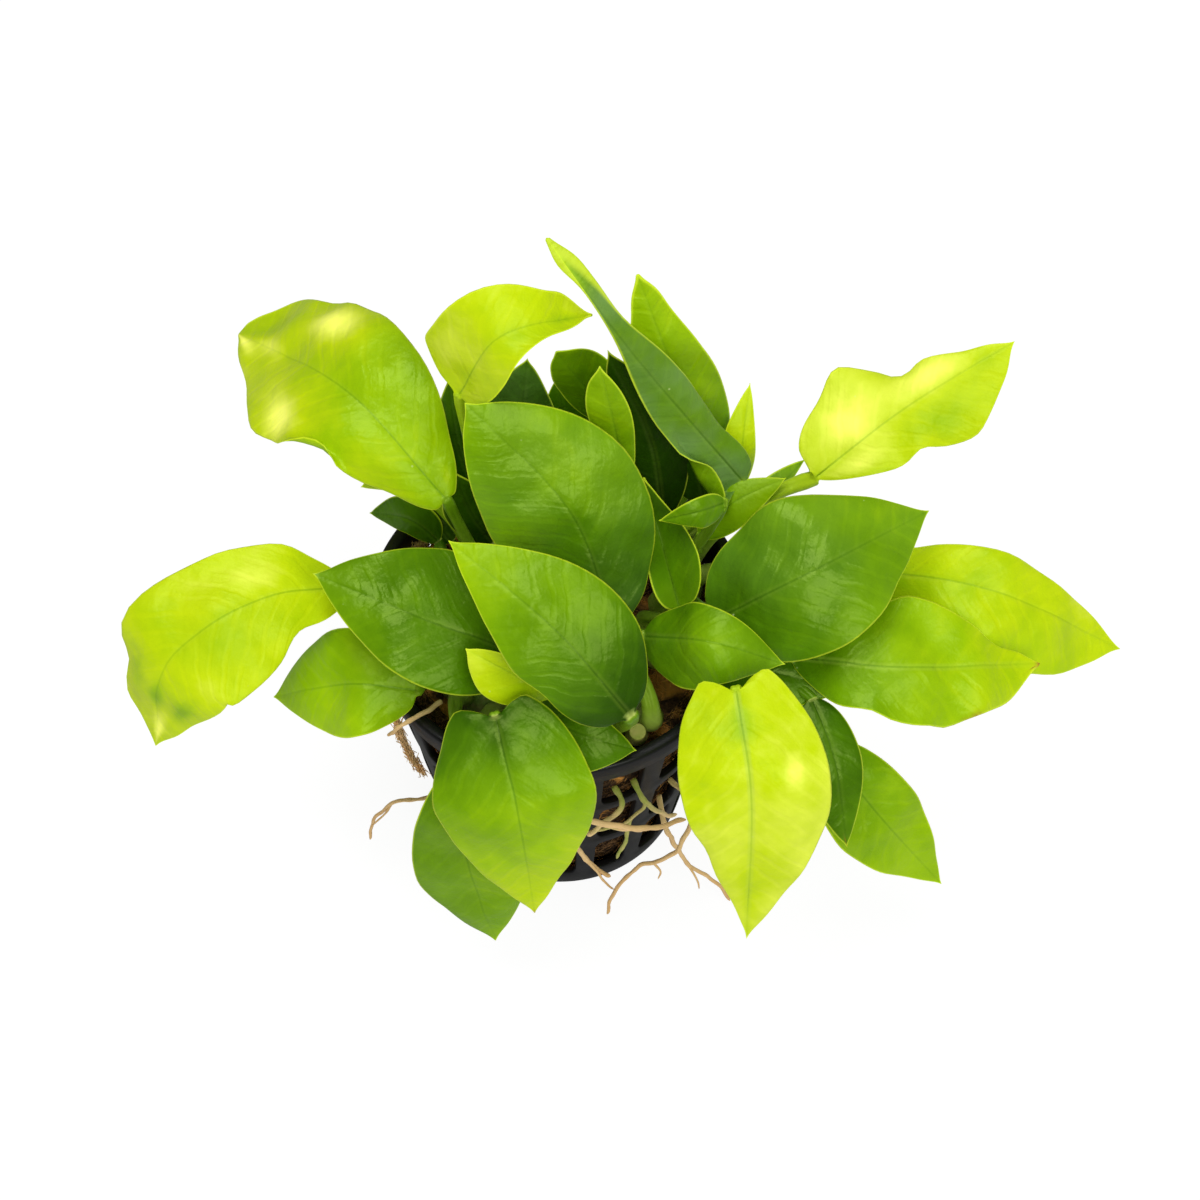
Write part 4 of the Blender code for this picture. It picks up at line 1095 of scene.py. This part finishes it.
def build_blade_material(name, veins, mottle, roughness, vein_strength, bump, petiole_top):
    """Leaf skin: colour by ripening tone with painted shade at its dark end, a blue-grey tint that is partly
    painted sheen, pale veins and margin, matt paler underside, petiole at the base, and a faint glow of
    painted light in pale parts.
    """
    material, tree, shader = new_material(name)
    ripeness = read_value(tree, "ripeness")
    browning = read_value(tree, "browning")
    lines = put(tree, "ShaderNodeGroup", node_tree=veins).outputs
    spots = put(tree, "ShaderNodeGroup", node_tree=mottle).outputs
    faded = times(tree, lines["Veins"], step_up(tree, cloud(tree, 8, 2), 0.25, 0.6))
    shade = plus(tree, ripeness, times(tree, spots["Cloud"], BLOTCHES))
    shade = plus(tree, shade, times(tree, minus(tree, cloud(tree, 2.4, 3), 0.5), FLECKS))
    shade = plus(tree, shade, times(tree, faded, vein_strength))
    whole = RIPENESS_TOP - PAINTED_SHADE_LOW
    colour = ramp(tree, maths(tree, "DIVIDE", minus(tree, shade, PAINTED_SHADE_LOW), whole),
                  [((place - PAINTED_SHADE_LOW) / whole, tint) for place, tint in RIPENESS_AND_SHADE])

    # A blue-grey tint in clouds on the upper skin: partly glaucous and partly painted sheen.
    bloom_and_sheen = times(tree, read_value(tree, "frost"), step_up(tree, cloud(tree, 10, 3), 0.3, 0.7))
    colour = mixed(tree, times(tree, bloom_and_sheen, BLOOM_AND_SHEEN), colour, FROST_AND_SHEEN_TINT)
    fading = minus(tree, 1.0, times(tree, read_value(tree, "share"), RIB_FADING))
    flank = times(tree, times(tree, lines["Flank"], fading), read_value(tree, "pale_rib"))
    colour = mixed(tree, flank, colour, FLANK_TINT)
    rib_depth = minus(tree, 0.85, times(tree, ripeness, 0.25))
    rib = times(tree, times(tree, lines["Midrib"], fading), rib_depth)
    colour = mixed(tree, rib, colour, RIB_TINT, "MULTIPLY")
    pale_edge = minus(tree, 1.0, step_up(tree, read_value(tree, "margin_mm"), 0.05, 0.30))
    colour = mixed(tree, times(tree, pale_edge, PALE_MARGIN), colour, MARGIN_TINT)
    colour = mixed(tree, times(tree, spots["Specks"], SPECKS), colour, SPECK_TINT)
    stalk_colour = ramp(tree, ripeness, [(0.0, FOOT_TINT), (0.3, STALK_TINT), (0.9, petiole_top)])
    colour = mixed(tree, read_value(tree, "petiole"), colour, stalk_colour)
    ragged = step_up(tree, cloud(tree, 1.6), 0.3, 0.6)
    patchy = maths(tree, "MAXIMUM", step_up(tree, browning, 0.35, 0.8), ragged)
    colour = mixed(tree, times(tree, browning, patchy), colour, SCORCH_TINT)
    feed(tree, shader.inputs["Base Color"], colour)

    # Painted light: pale margins and the palest tones glow a little, for light that comes through the leaf.
    glow = maths(tree, "MAXIMUM", pale_edge, step_up(tree, shade, 1.0, 1.45))
    feed(tree, shader.inputs["Emission Color"], mixed(tree, glow, (0, 0, 0), colour))
    shader.inputs["Emission Strength"].default_value = MARGIN_GLOW
    rough = plus(tree, roughness, times(tree, spots["Cloud"], 0.25))
    rough = plus(tree, rough, times(tree, read_value(tree, "underside"), 0.2))
    feed(tree, shader.inputs["Roughness"], rough)
    shader.inputs["Specular IOR Level"].default_value = 0.40
    shader.inputs["Specular Tint"].default_value = GLOSS_TINT
    height = plus(tree, times(tree, faded, -0.55), times(tree, lines["Fine"], -0.06))
    height = plus(tree, height, times(tree, spots["Grain"], 0.25))
    height = plus(tree, height, times(tree, cloud(tree, 3.0, 3), 5.0))
    add_relief(tree, shader, height, bump, 0.12)
    return material


def build_plastic():
    """Moulded black plastic with a satin skin, dull scuffs and dust."""
    material, tree, shader = new_material("black_moulded_plastic")
    dust = times(tree, step_up(tree, cloud(tree, 7, 4, 0.6), 0.5, 0.8), 0.5)
    feed(tree, shader.inputs["Base Color"], mixed(tree, dust, PLASTIC_TINT, DUST_TINT))
    feed(tree, shader.inputs["Roughness"], plus(tree, 0.30, times(tree, cloud(tree, 3, 3), 0.2)))
    shader.inputs["Specular IOR Level"].default_value = 0.35
    add_relief(tree, shader, cloud(tree, 0.35, 2), 0.25, 0.08)
    return material


def build_wool_material(name, dark, mid, rust):
    """Damp mineral wool: dark brown with rusty patches."""
    material, tree, shader = new_material(name)
    patches = cloud(tree, 5, 3, 0.6, distortion=0.6)
    fine = cloud(tree, 0.8, 3, 0.7)
    colour = mixed(tree, step_up(tree, fine, 0.3, 0.7), dark, mid)
    colour = mixed(tree, step_up(tree, patches, 0.48, 0.66), colour, rust)
    feed(tree, shader.inputs["Base Color"], colour)
    shader.inputs["Roughness"].default_value = 0.92
    shader.inputs["Specular IOR Level"].default_value = 0.2
    add_relief(tree, shader, fine, 0.8, 0.4)
    return material


def build_root_material(name, young, pale, old):
    """Root skin whose colour follows its age, with a lumpy surface."""
    material, tree, shader = new_material(name)
    lumps = times(tree, minus(tree, cloud(tree, 2.5, 3, 0.6), 0.5), 0.6)
    shade = maths(tree, "ADD", read_value(tree, "age"), lumps, clamp=True)
    feed(tree, shader.inputs["Base Color"], ramp(tree, shade, [(0.0, young), (0.5, pale), (1.0, old)]))
    shader.inputs["Roughness"].default_value = 0.62
    shader.inputs["Specular IOR Level"].default_value = 0.35
    add_relief(tree, shader, cloud(tree, 0.5, 3), 0.5, 0.15)
    return material


def build_rhizome_material():
    """Creeping stem: green with corky brown between its ring scars."""
    material, tree, shader = new_material("rhizome_skin")
    corky = step_up(tree, cloud(tree, 3, 4, 0.6), 0.4, 0.65)
    colour = mixed(tree, corky, STEM_TINT, CORK_TINT)
    colour = mixed(tree, times(tree, read_value(tree, "scar"), 0.7), colour, SCAR_TINT)
    feed(tree, shader.inputs["Base Color"], colour)
    shader.inputs["Roughness"].default_value = 0.6
    add_relief(tree, shader, cloud(tree, 0.8, 4), 0.6, 0.3)
    return material


# The pot

def wall_radius(height):
    """Outside of the tapered wall."""
    return BASE_RADIUS + (COLLAR_RADIUS - BASE_RADIUS) * min(height / COLLAR_FOOT, 1)


def slot_rows():
    """Bottom and top of each row of slots."""
    tall = (COLLAR_FOOT - FIRST_SLOT - (SLOT_ROWS - 1) * RIB_HEIGHT - COLLAR_GAP) / SLOT_ROWS
    return [(FIRST_SLOT + row * (tall + RIB_HEIGHT), FIRST_SLOT + row * (tall + RIB_HEIGHT) + tall)
            for row in range(SLOT_ROWS)]


def square_outline():
    """Points round a square from -1 to 1, anticlockwise from its lower left corner."""
    steps = [2 * i / TILE_SEGMENTS - 1 for i in range(TILE_SEGMENTS)]
    bottom, right = [(s, -1) for s in steps], [(1, s) for s in steps]
    top, left = [(-s, 1) for s in steps], [(-1, -s) for s in steps]
    return bottom + right + top + left


def rounded(x, y, half_x, half_y, corner):
    """The point of a rounded rectangle that lies towards a point of the square."""
    inner_x = min(max(x * half_x, corner - half_x), half_x - corner)
    inner_y = min(max(y * half_y, corner - half_y), half_y - corner)
    away = Vector((x * half_x - inner_x, y * half_y - inner_y))
    away = away.normalized() * corner
    return inner_x + away.x, inner_y + away.y


def turned_profiles():
    """Radius and height of the corners of the lipped collar, and of the floor's inside and outside."""
    collar = [
        (COLLAR_RADIUS, COLLAR_FOOT), (COLLAR_RADIUS + 0.7, COLLAR_FOOT + 0.05),
        (COLLAR_RADIUS + 1.05, COLLAR_FOOT + 0.3), (LIP_RADIUS - 0.25, 45.6), (LIP_RADIUS - 0.05, 47.3),
        (LIP_RADIUS - 0.1, 47.75), (LIP_RADIUS - 0.4, POT_HEIGHT), (COLLAR_RADIUS + 0.3, POT_HEIGHT),
        (COLLAR_RADIUS - 0.15, 47.8), (COLLAR_RADIUS - 0.35, 47.4), (COLLAR_RADIUS - 0.9, 45.2),
        (COLLAR_RADIUS - WALL, COLLAR_FOOT)]
    inside = [
        (wall_radius(TILE_FOOT) - WALL, TILE_FOOT), (BASE_RADIUS - WALL - 0.3, 1.95),
        (BASE_RADIUS - WALL - 1.0, POT_FLOOR), (DISC_RADIUS, POT_FLOOR)]
    outside = [
        (DISC_RADIUS, 0.0), (BASE_RADIUS - 0.7, 0.0), (BASE_RADIUS - 0.2, 0.15), (BASE_RADIUS, 0.6),
        (wall_radius(TILE_FOOT), TILE_FOOT)]
    return collar, inside, outside


def build_pot(material):
    """The slotted wall as tiles with a rounded hole each, and the collar and the floor as turned rings."""
    points, faces, known = [], [], {}
    rows = slot_rows()
    between = [(below[1] + above[0]) / 2 for below, above in zip(rows, rows[1:])]
    borders = [TILE_FOOT] + between + [COLLAR_FOOT]
    half_tile = math.pi / SLOT_COLUMNS
    square = square_outline()
    eased = SLOT_BEVEL * 0.3
    grown = ((None, 0), (SLOT_BEVEL, 0), (eased, eased), (0, SLOT_BEVEL),
             (0, WALL - SLOT_BEVEL), (eased, WALL - eased), (SLOT_BEVEL, WALL), (None, WALL))

    def add(radius, angle, height):
        x, y = radius * math.cos(angle), radius * math.sin(angle)
        key = (round(x, 3), round(y, 3), round(height, 3))
        if key not in known:
            known[key] = len(points)
            points.append((x, y, height))
        return known[key]

    def tile_place(middle, row, widen, x, y):
        """Angle and height of a point of a tile's border, or of its slot's outline grown by widen."""
        if widen is None:
            bottom, top = borders[row], borders[row + 1]
            height = bottom if y == -1 else top if y == 1 else bottom + (y + 1) / 2 * (top - bottom)
            return middle + x * half_tile, height
        low, high = rows[row]
        around = wall_radius((low + high) / 2)
        wide = around * half_tile * SLOT_SHARE
        out, up = rounded(x, y, wide + widen, (high - low) / 2 + widen, SLOT_CORNER + widen)
        return middle + out / around, (low + high) / 2 + up

    for column in range(SLOT_COLUMNS):
        middle = 2 * half_tile * column - math.pi / 2
        for row in range(SLOT_ROWS):
            loops = []
            for widen, depth in grown:
                loop = []
                for x, y in square:
                    angle, height = tile_place(middle, row, widen, x, y)
                    loop.append(add(wall_radius(height) - depth, angle, height))
                loops.append(loop)
            for one, two in zip(loops, loops[1:]):
                for k in range(len(square)):
                    after = (k + 1) % len(square)
                    faces.append((one[k], one[after], two[after], two[k]))
    turned = SLOT_COLUMNS * TILE_SEGMENTS
    angles = [FULL_TURN * k / turned - math.pi / 2 - half_tile for k in range(turned)]
    for profile in turned_profiles():
        for (r1, h1), (r2, h2) in zip(profile, profile[1:]):
            for k in range(turned):
                a, b = angles[k], angles[(k + 1) % turned]
                faces.append((add(r1, a, h1), add(r1, b, h1), add(r2, b, h2), add(r2, a, h2)))
    for height, flip in ((POT_FLOOR, False), (0.0, True)):
        disc = [add(DISC_RADIUS, angle, height) for angle in angles]
        faces.append(tuple(disc[::-1] if flip else disc))
    made = add_mesh("net_pot_moulded", points, faces, material)
    made.data.set_sharp_from_angle(angle=math.radians(50))
    settle(made, "net_pot")


# The wool

def lump_round(angle, spread, height):
    """Noise on a cylinder, so that it closes on itself all the way round."""
    return noise.noise(Vector((math.cos(angle) * spread, math.sin(angle) * spread, height)))


def core_radius(angle, height):
    """The plug's lumpy side, a little inside the wall."""
    return wall_radius(height) - WALL - 1.3 + 0.7 * lump_round(angle, 4, height * 0.22)


def rim_rise(angle):
    return WOOL_RIM * (0.85 + 0.4 * lump_round(angle, 2.5, 3.0))


def top_lump(x, y):
    return 0.7 * noise.noise(Vector((x * 0.25, y * 0.25, 5.0)))


def build_plug(material):
    """The lumpy core of the wool, which rises a little at the rim."""
    sides, levels, rings = 96, 44, 20
    points = []
    for i in range(levels):
        for k in range(sides):
            angle = FULL_TURN * k / sides
            height = CORE_FOOT + (CORE_TOP - CORE_FOOT + rim_rise(angle)) * i / (levels - 1)
            radius = core_radius(angle, height)
            points.append((radius * math.cos(angle), radius * math.sin(angle), height))
    for i in range(1, rings):
        share = 1 - i / rings
        for k in range(sides):
            angle = FULL_TURN * k / sides
            radius = core_radius(angle, CORE_TOP) * share
            x, y = radius * math.cos(angle), radius * math.sin(angle)
            height = CORE_TOP + top_lump(x, y)
            points.append((x, y, height + rim_rise(angle) * smooth(share, 0.7, 1.0)))
    made = add_mesh("wool_core", points, loft_faces(levels + rings - 1, sides), material)
    settle(made, "wool_plug")


def build_plug_fibres(material):
    """Fibres that lie over the core every way, first on its side and then on its top."""
    rng = random.Random(11)
    lines = []
    for _ in range(SIDE_FIBRES):
        angle, height = rng.uniform(0, FULL_TURN), rng.uniform(3, PLUG_TOP - 1)
        heading, bend = rng.uniform(0, FULL_TURN), rng.uniform(-FIBRE_BEND, FIBRE_BEND)
        off = rng.uniform(0.0, 0.75)
        line = []
        for _ in range(FIBRE_POINTS):
            height = min(max(height + 0.9 * math.sin(heading), LOWEST_FIBRE), PLUG_TOP)
            angle += 0.9 * math.cos(heading) / wall_radius(height)
            heading += bend
            radius = core_radius(angle, height) + off + rng.uniform(-0.1, 0.1)
            line.append(Vector((radius * math.cos(angle), radius * math.sin(angle), height)))
        lines.append((line, rng.uniform(*THICK_FIBRES)))
    for _ in range(TOP_FIBRES):
        angle, radius = rng.uniform(0, FULL_TURN), TOP_REACH * math.sqrt(rng.random())
        x, y, heading = radius * math.cos(angle), radius * math.sin(angle), rng.uniform(0, FULL_TURN)
        bend, line = rng.uniform(-FIBRE_BEND, FIBRE_BEND), []
        for _ in range(FIBRE_POINTS):
            x, y = x + 0.8 * math.cos(heading), y + 0.8 * math.sin(heading)
            heading += bend
            line.append(Vector((x, y, PLUG_TOP - 0.2 + top_lump(x, y) + rng.uniform(-0.1, 0.5))))
        if max(p.x ** 2 + p.y ** 2 for p in line) < TOP_LIMIT ** 2:
            lines.append((line, rng.uniform(*THICK_FIBRES)))
    settle(build_fibres("wool_fibres", lines, material))


def build_packing(material, fibre_material):
    """A lumpy ring of wool pressed between the plug and the collar."""
    rng = random.Random(17)
    sides, around = 10, 140
    points, faces, lines = [], [], []

    def on_ring(turn_at, angle, extra):
        reach = PACKING_RADIUS * (1 + 0.22 * lump_round(turn_at, 6, angle)) + extra
        out = PACKING_AT[0] + reach * math.cos(angle)
        height = PACKING_AT[1] + reach * math.sin(angle)
        return Vector((out * math.cos(turn_at), out * math.sin(turn_at), height))

    for i in range(around):
        for k in range(sides):
            points.append(on_ring(FULL_TURN * i / around, FULL_TURN * k / sides, 0))
            a, b = i * sides + k, i * sides + (k + 1) % sides
            c, d = (i + 1) % around * sides + (k + 1) % sides, (i + 1) % around * sides + k
            faces.append((a, d, c, b))
    ring = add_mesh("wool_packing", points, faces, material)
    for _ in range(PACKING_FIBRES):
        place, angle = rng.uniform(0, FULL_TURN), rng.uniform(0.2, 2.9)
        heading, bend = rng.uniform(0, FULL_TURN), rng.uniform(-FIBRE_BEND, FIBRE_BEND)
        extra, line = rng.uniform(0, 0.3), []
        for _ in range(6):
            place += 0.8 * math.cos(heading) / PACKING_AT[0]
            angle += 0.6 * math.sin(heading) / PACKING_RADIUS
            heading += bend
            line.append(on_ring(place, angle, extra))
        lines.append((line, rng.uniform(*THIN_FIBRES)))
    for piece in (ring, build_fibres("wool_packing_fibres", lines, fibre_material)):
        settle(piece)


def build_fibres(name, lines, material):
    """Many thin tubes as one mesh."""
    points, faces = [], []
    for line, radius in lines:
        radii = [radius * (1 - 0.5 * i / len(line)) for i in range(len(line))]
        faces += loft_faces(len(line), FIBRE_SIDES, start=len(points))
        points += tube(line, radii, FIBRE_SIDES)
    return add_mesh(name, points, faces, material)


# Rhizomes and roots

def build_rhizomes(material):
    """Creeping stems with ring scars, a little lumpy."""
    steps, sides = 90, 28
    for name in RHIZOMES:
        line, length = evenly(lambda t, n=name: rhizome_point(n, t), even_shares(steps))
        radii, scars = [], []
        for i in range(steps + 1):
            share = i / steps
            ridge = abs(math.sin(math.pi * (share * length / SCAR_SPACING))) ** 0.4
            scars.append(1 - ridge)
            radii.append(rhizome_radius(name, share) * (0.96 + 0.06 * ridge))
        shaped = []
        for k, p in enumerate(tube(line, radii, sides)):
            axis = line[k // sides]
            shaped.append(axis + (p - axis) * (1 + 0.05 * noise.noise(p * 0.5)))
        made = add_mesh(f"rhizome_{name}_ringed", shaped, loft_faces(steps + 1, sides), material)
        add_values(made.data, "scar", [scars[k // sides] for k in range(len(shaped))])
        settle(made, f"rhizome_{name}")


def build_root(name, piece, material, seed, replaces=None):
    """A root that wanders a little and tapers, with small knots."""
    steps = ROOT_RINGS * (len(piece.path) - 1)
    path = [vec(p) for p in piece.path]
    line, length = evenly(lambda t: catmull(path, t), even_shares(steps))
    radii = []
    for i, place in enumerate(line):
        share = i / steps
        knot = 1 + 0.30 * noise.noise(Vector((share * length * 0.8, seed, 0)))
        radii.append((piece.thick + (piece.thin - piece.thick) * share) * knot * ROOT_SLIMNESS)
        wander = Vector([noise.noise(place * 0.35 + Vector((k * 9.0, seed, 0))) for k in range(3)])
        line[i] = place + wander * 0.35 * smooth(share, 0, 0.1)
    radii[-1] *= 0.35
    radii[-2] *= 0.8
    made = add_mesh(name, tube(line, radii, ROOT_SIDES), loft_faces(steps + 1, ROOT_SIDES), material)
    ages = [piece.young + (piece.old - piece.young) * i / steps for i in range(steps + 1)]
    add_values(made.data, "age", np.repeat(ages, ROOT_SIDES))
    settle(made, replaces)


def build_roots(material):
    for seed, (name, piece) in enumerate(ROOTS.items()):
        build_root(name + "_grown", piece, material, seed, name)
    for seed, (name, piece) in enumerate(SMALL_ROOTS.items()):
        build_root(name, piece, material, SMALL_ROOT_SEED + seed)


def build_tufts(material):
    """Wool that has come loose and hangs over the rim or lies inside it."""
    rng = random.Random(5)
    lines, last = [], FIBRE_POINTS - 1
    for path, spread, count in TUFTS:
        spine = [vec(p) for p in path]
        for _ in range(count):
            share, reach = rng.uniform(0, 0.85), rng.uniform(0.08, 0.25)
            start = Vector([rng.gauss(0, spread * 0.5) for _ in range(3)])
            stray = Vector([rng.gauss(0, spread * 0.5) for _ in range(3)])
            line = []
            for i in range(last + 1):
                at = min(share + reach * i / last, 1)
                line.append(catmull(spine, at) + start.lerp(stray, i / last))
            lines.append((line, rng.uniform(*THIN_FIBRES)))
    settle(build_fibres("wool_tufts", lines, material))


def build_stub(material):
    """A petiole cut off short, with its flat cut face."""
    foot, out = foot_of(STUB)
    rise = (out + 2 * UP).normalized()
    steps, sides = 12, 24
    line = [foot - out * FOOT_DEPTH] + [foot + rise * (STUB_LENGTH * i / steps) for i in range(steps + 1)]
    radii = [STUB_RADIUS * (1.35 - 0.35 * smooth(i / steps, 0, 0.5)) for i in range(len(line))]
    radii[-1] *= 0.92
    points, faces = tube(line, radii, sides, out), loft_faces(len(line), sides)
    made = add_mesh("petiole_stub_cut", points, faces, material)
    add_values(made.data, "age", [STUB_AGE] * len(made.data.vertices))
    made.data.set_sharp_from_angle(angle=math.radians(45))
    settle(made, "petiole_stub")


# The studio

def build_floor():
    """A floor with a glow of its own, so that it stays as white as the room."""
    mesh = bpy.data.meshes.new("studio_floor")
    corners = [(x * FLOOR_REACH, y * FLOOR_REACH, 0) for x, y in ((-1, -1), (1, -1), (1, 1), (-1, 1))]
    mesh.from_pydata(corners, [], [(0, 1, 2, 3)])
    made = add_object("studio_floor", mesh)
    material, tree, shader = new_material("pale_floor")
    shader.inputs["Base Color"].default_value = (0.16, 0.16, 0.16, 1)
    shader.inputs["Roughness"].default_value = 0.9
    shader.inputs["Specular IOR Level"].default_value = 0.0
    shader.inputs["Emission Color"].default_value = (1, 1, 1, 1)
    glossy = put(tree, "ShaderNodeLightPath").outputs["Is Glossy Ray"]
    dimmed = times(tree, glossy, FLOOR_GLOW - FLOOR_MIRRORED)
    feed(tree, shader.inputs["Emission Strength"], minus(tree, FLOOR_GLOW, dimmed))
    mesh.materials.append(material)


def add_softbox(name, place, size, power):
    light = bpy.data.lights.new(name, "AREA")
    light.shape = "RECTANGLE"
    light.size, light.size_y = size
    light.energy = power
    made = add_object(name, light)
    made.location = place
    made.rotation_euler = (Vector(LIGHT_TARGET) - Vector(place)).to_track_quat("-Z", "Y").to_euler()


def build_lights():
    """A room that the camera sees as white and a glossy skin sees as dark, and two softboxes."""
    world = bpy.data.worlds.new("studio")
    world.use_nodes = True
    tree = world.node_tree
    rays = put(tree, "ShaderNodeLightPath").outputs
    background = tree.nodes["Background"]
    background.inputs["Color"].default_value = (1, 1, 1, 1)
    strength = plus(tree, AMBIENT, times(tree, rays["Is Camera Ray"], 1 - AMBIENT))
    strength = minus(tree, strength, times(tree, rays["Is Glossy Ray"], AMBIENT - MIRRORED))
    feed(tree, background.inputs["Strength"], strength)
    bpy.context.scene.world = world
    for name, (place, size, power) in SOFTBOXES.items():
        add_softbox(name, place, size, power)


def build_camera():
    tilt = math.radians(CAMERA_ELEVATION)
    back = Vector((0, -math.cos(tilt), math.sin(tilt)))
    lens = bpy.data.cameras.new("camera")
    lens.lens = CAMERA_LENS
    lens.sensor_width = SENSOR_WIDTH
    camera = add_object("camera", lens)
    camera.location = (CAMERA_TARGET + back * CAMERA_DISTANCE) * MM
    camera.rotation_euler = (math.radians(90 - CAMERA_ELEVATION), 0, 0)
    bpy.context.scene.camera = camera


def main():
    veins, mottle = build_vein_group(), build_mottle_group()
    skins = {}
    for slot, (name, roughness, vein_strength, bump, petiole_top) in LEAF_SKINS.items():
        skins[slot] = build_blade_material(name, veins, mottle, roughness, vein_strength, bump, petiole_top)
    for seed, (name, piece) in enumerate(LEAVES.items()):
        how = LOOKS[name]
        grow_leaf(name + "_grown", piece, how, skins[how.slot], seed * SEED_STEP, name)
    for seed, (name, (piece, how)) in enumerate(YOUNG_LEAVES.items()):
        grow_leaf(name, piece, how, skins[how.slot], YOUNG_SEED + seed * SEED_STEP)
    build_pot(build_plastic())
    damp, strands, dry = (build_wool_material(name, *tints) for name, tints in WOOLS.items())
    build_plug(damp)
    build_plug_fibres(strands)
    build_packing(damp, strands)
    build_tufts(dry)
    build_rhizomes(build_rhizome_material())
    root_skin = build_root_material("root_skin", *ROOT_TINTS)
    build_roots(root_skin)
    build_stub(root_skin)
    build_floor()
    build_lights()
    build_camera()
    bpy.context.scene.view_settings.view_transform = "Standard"


main()
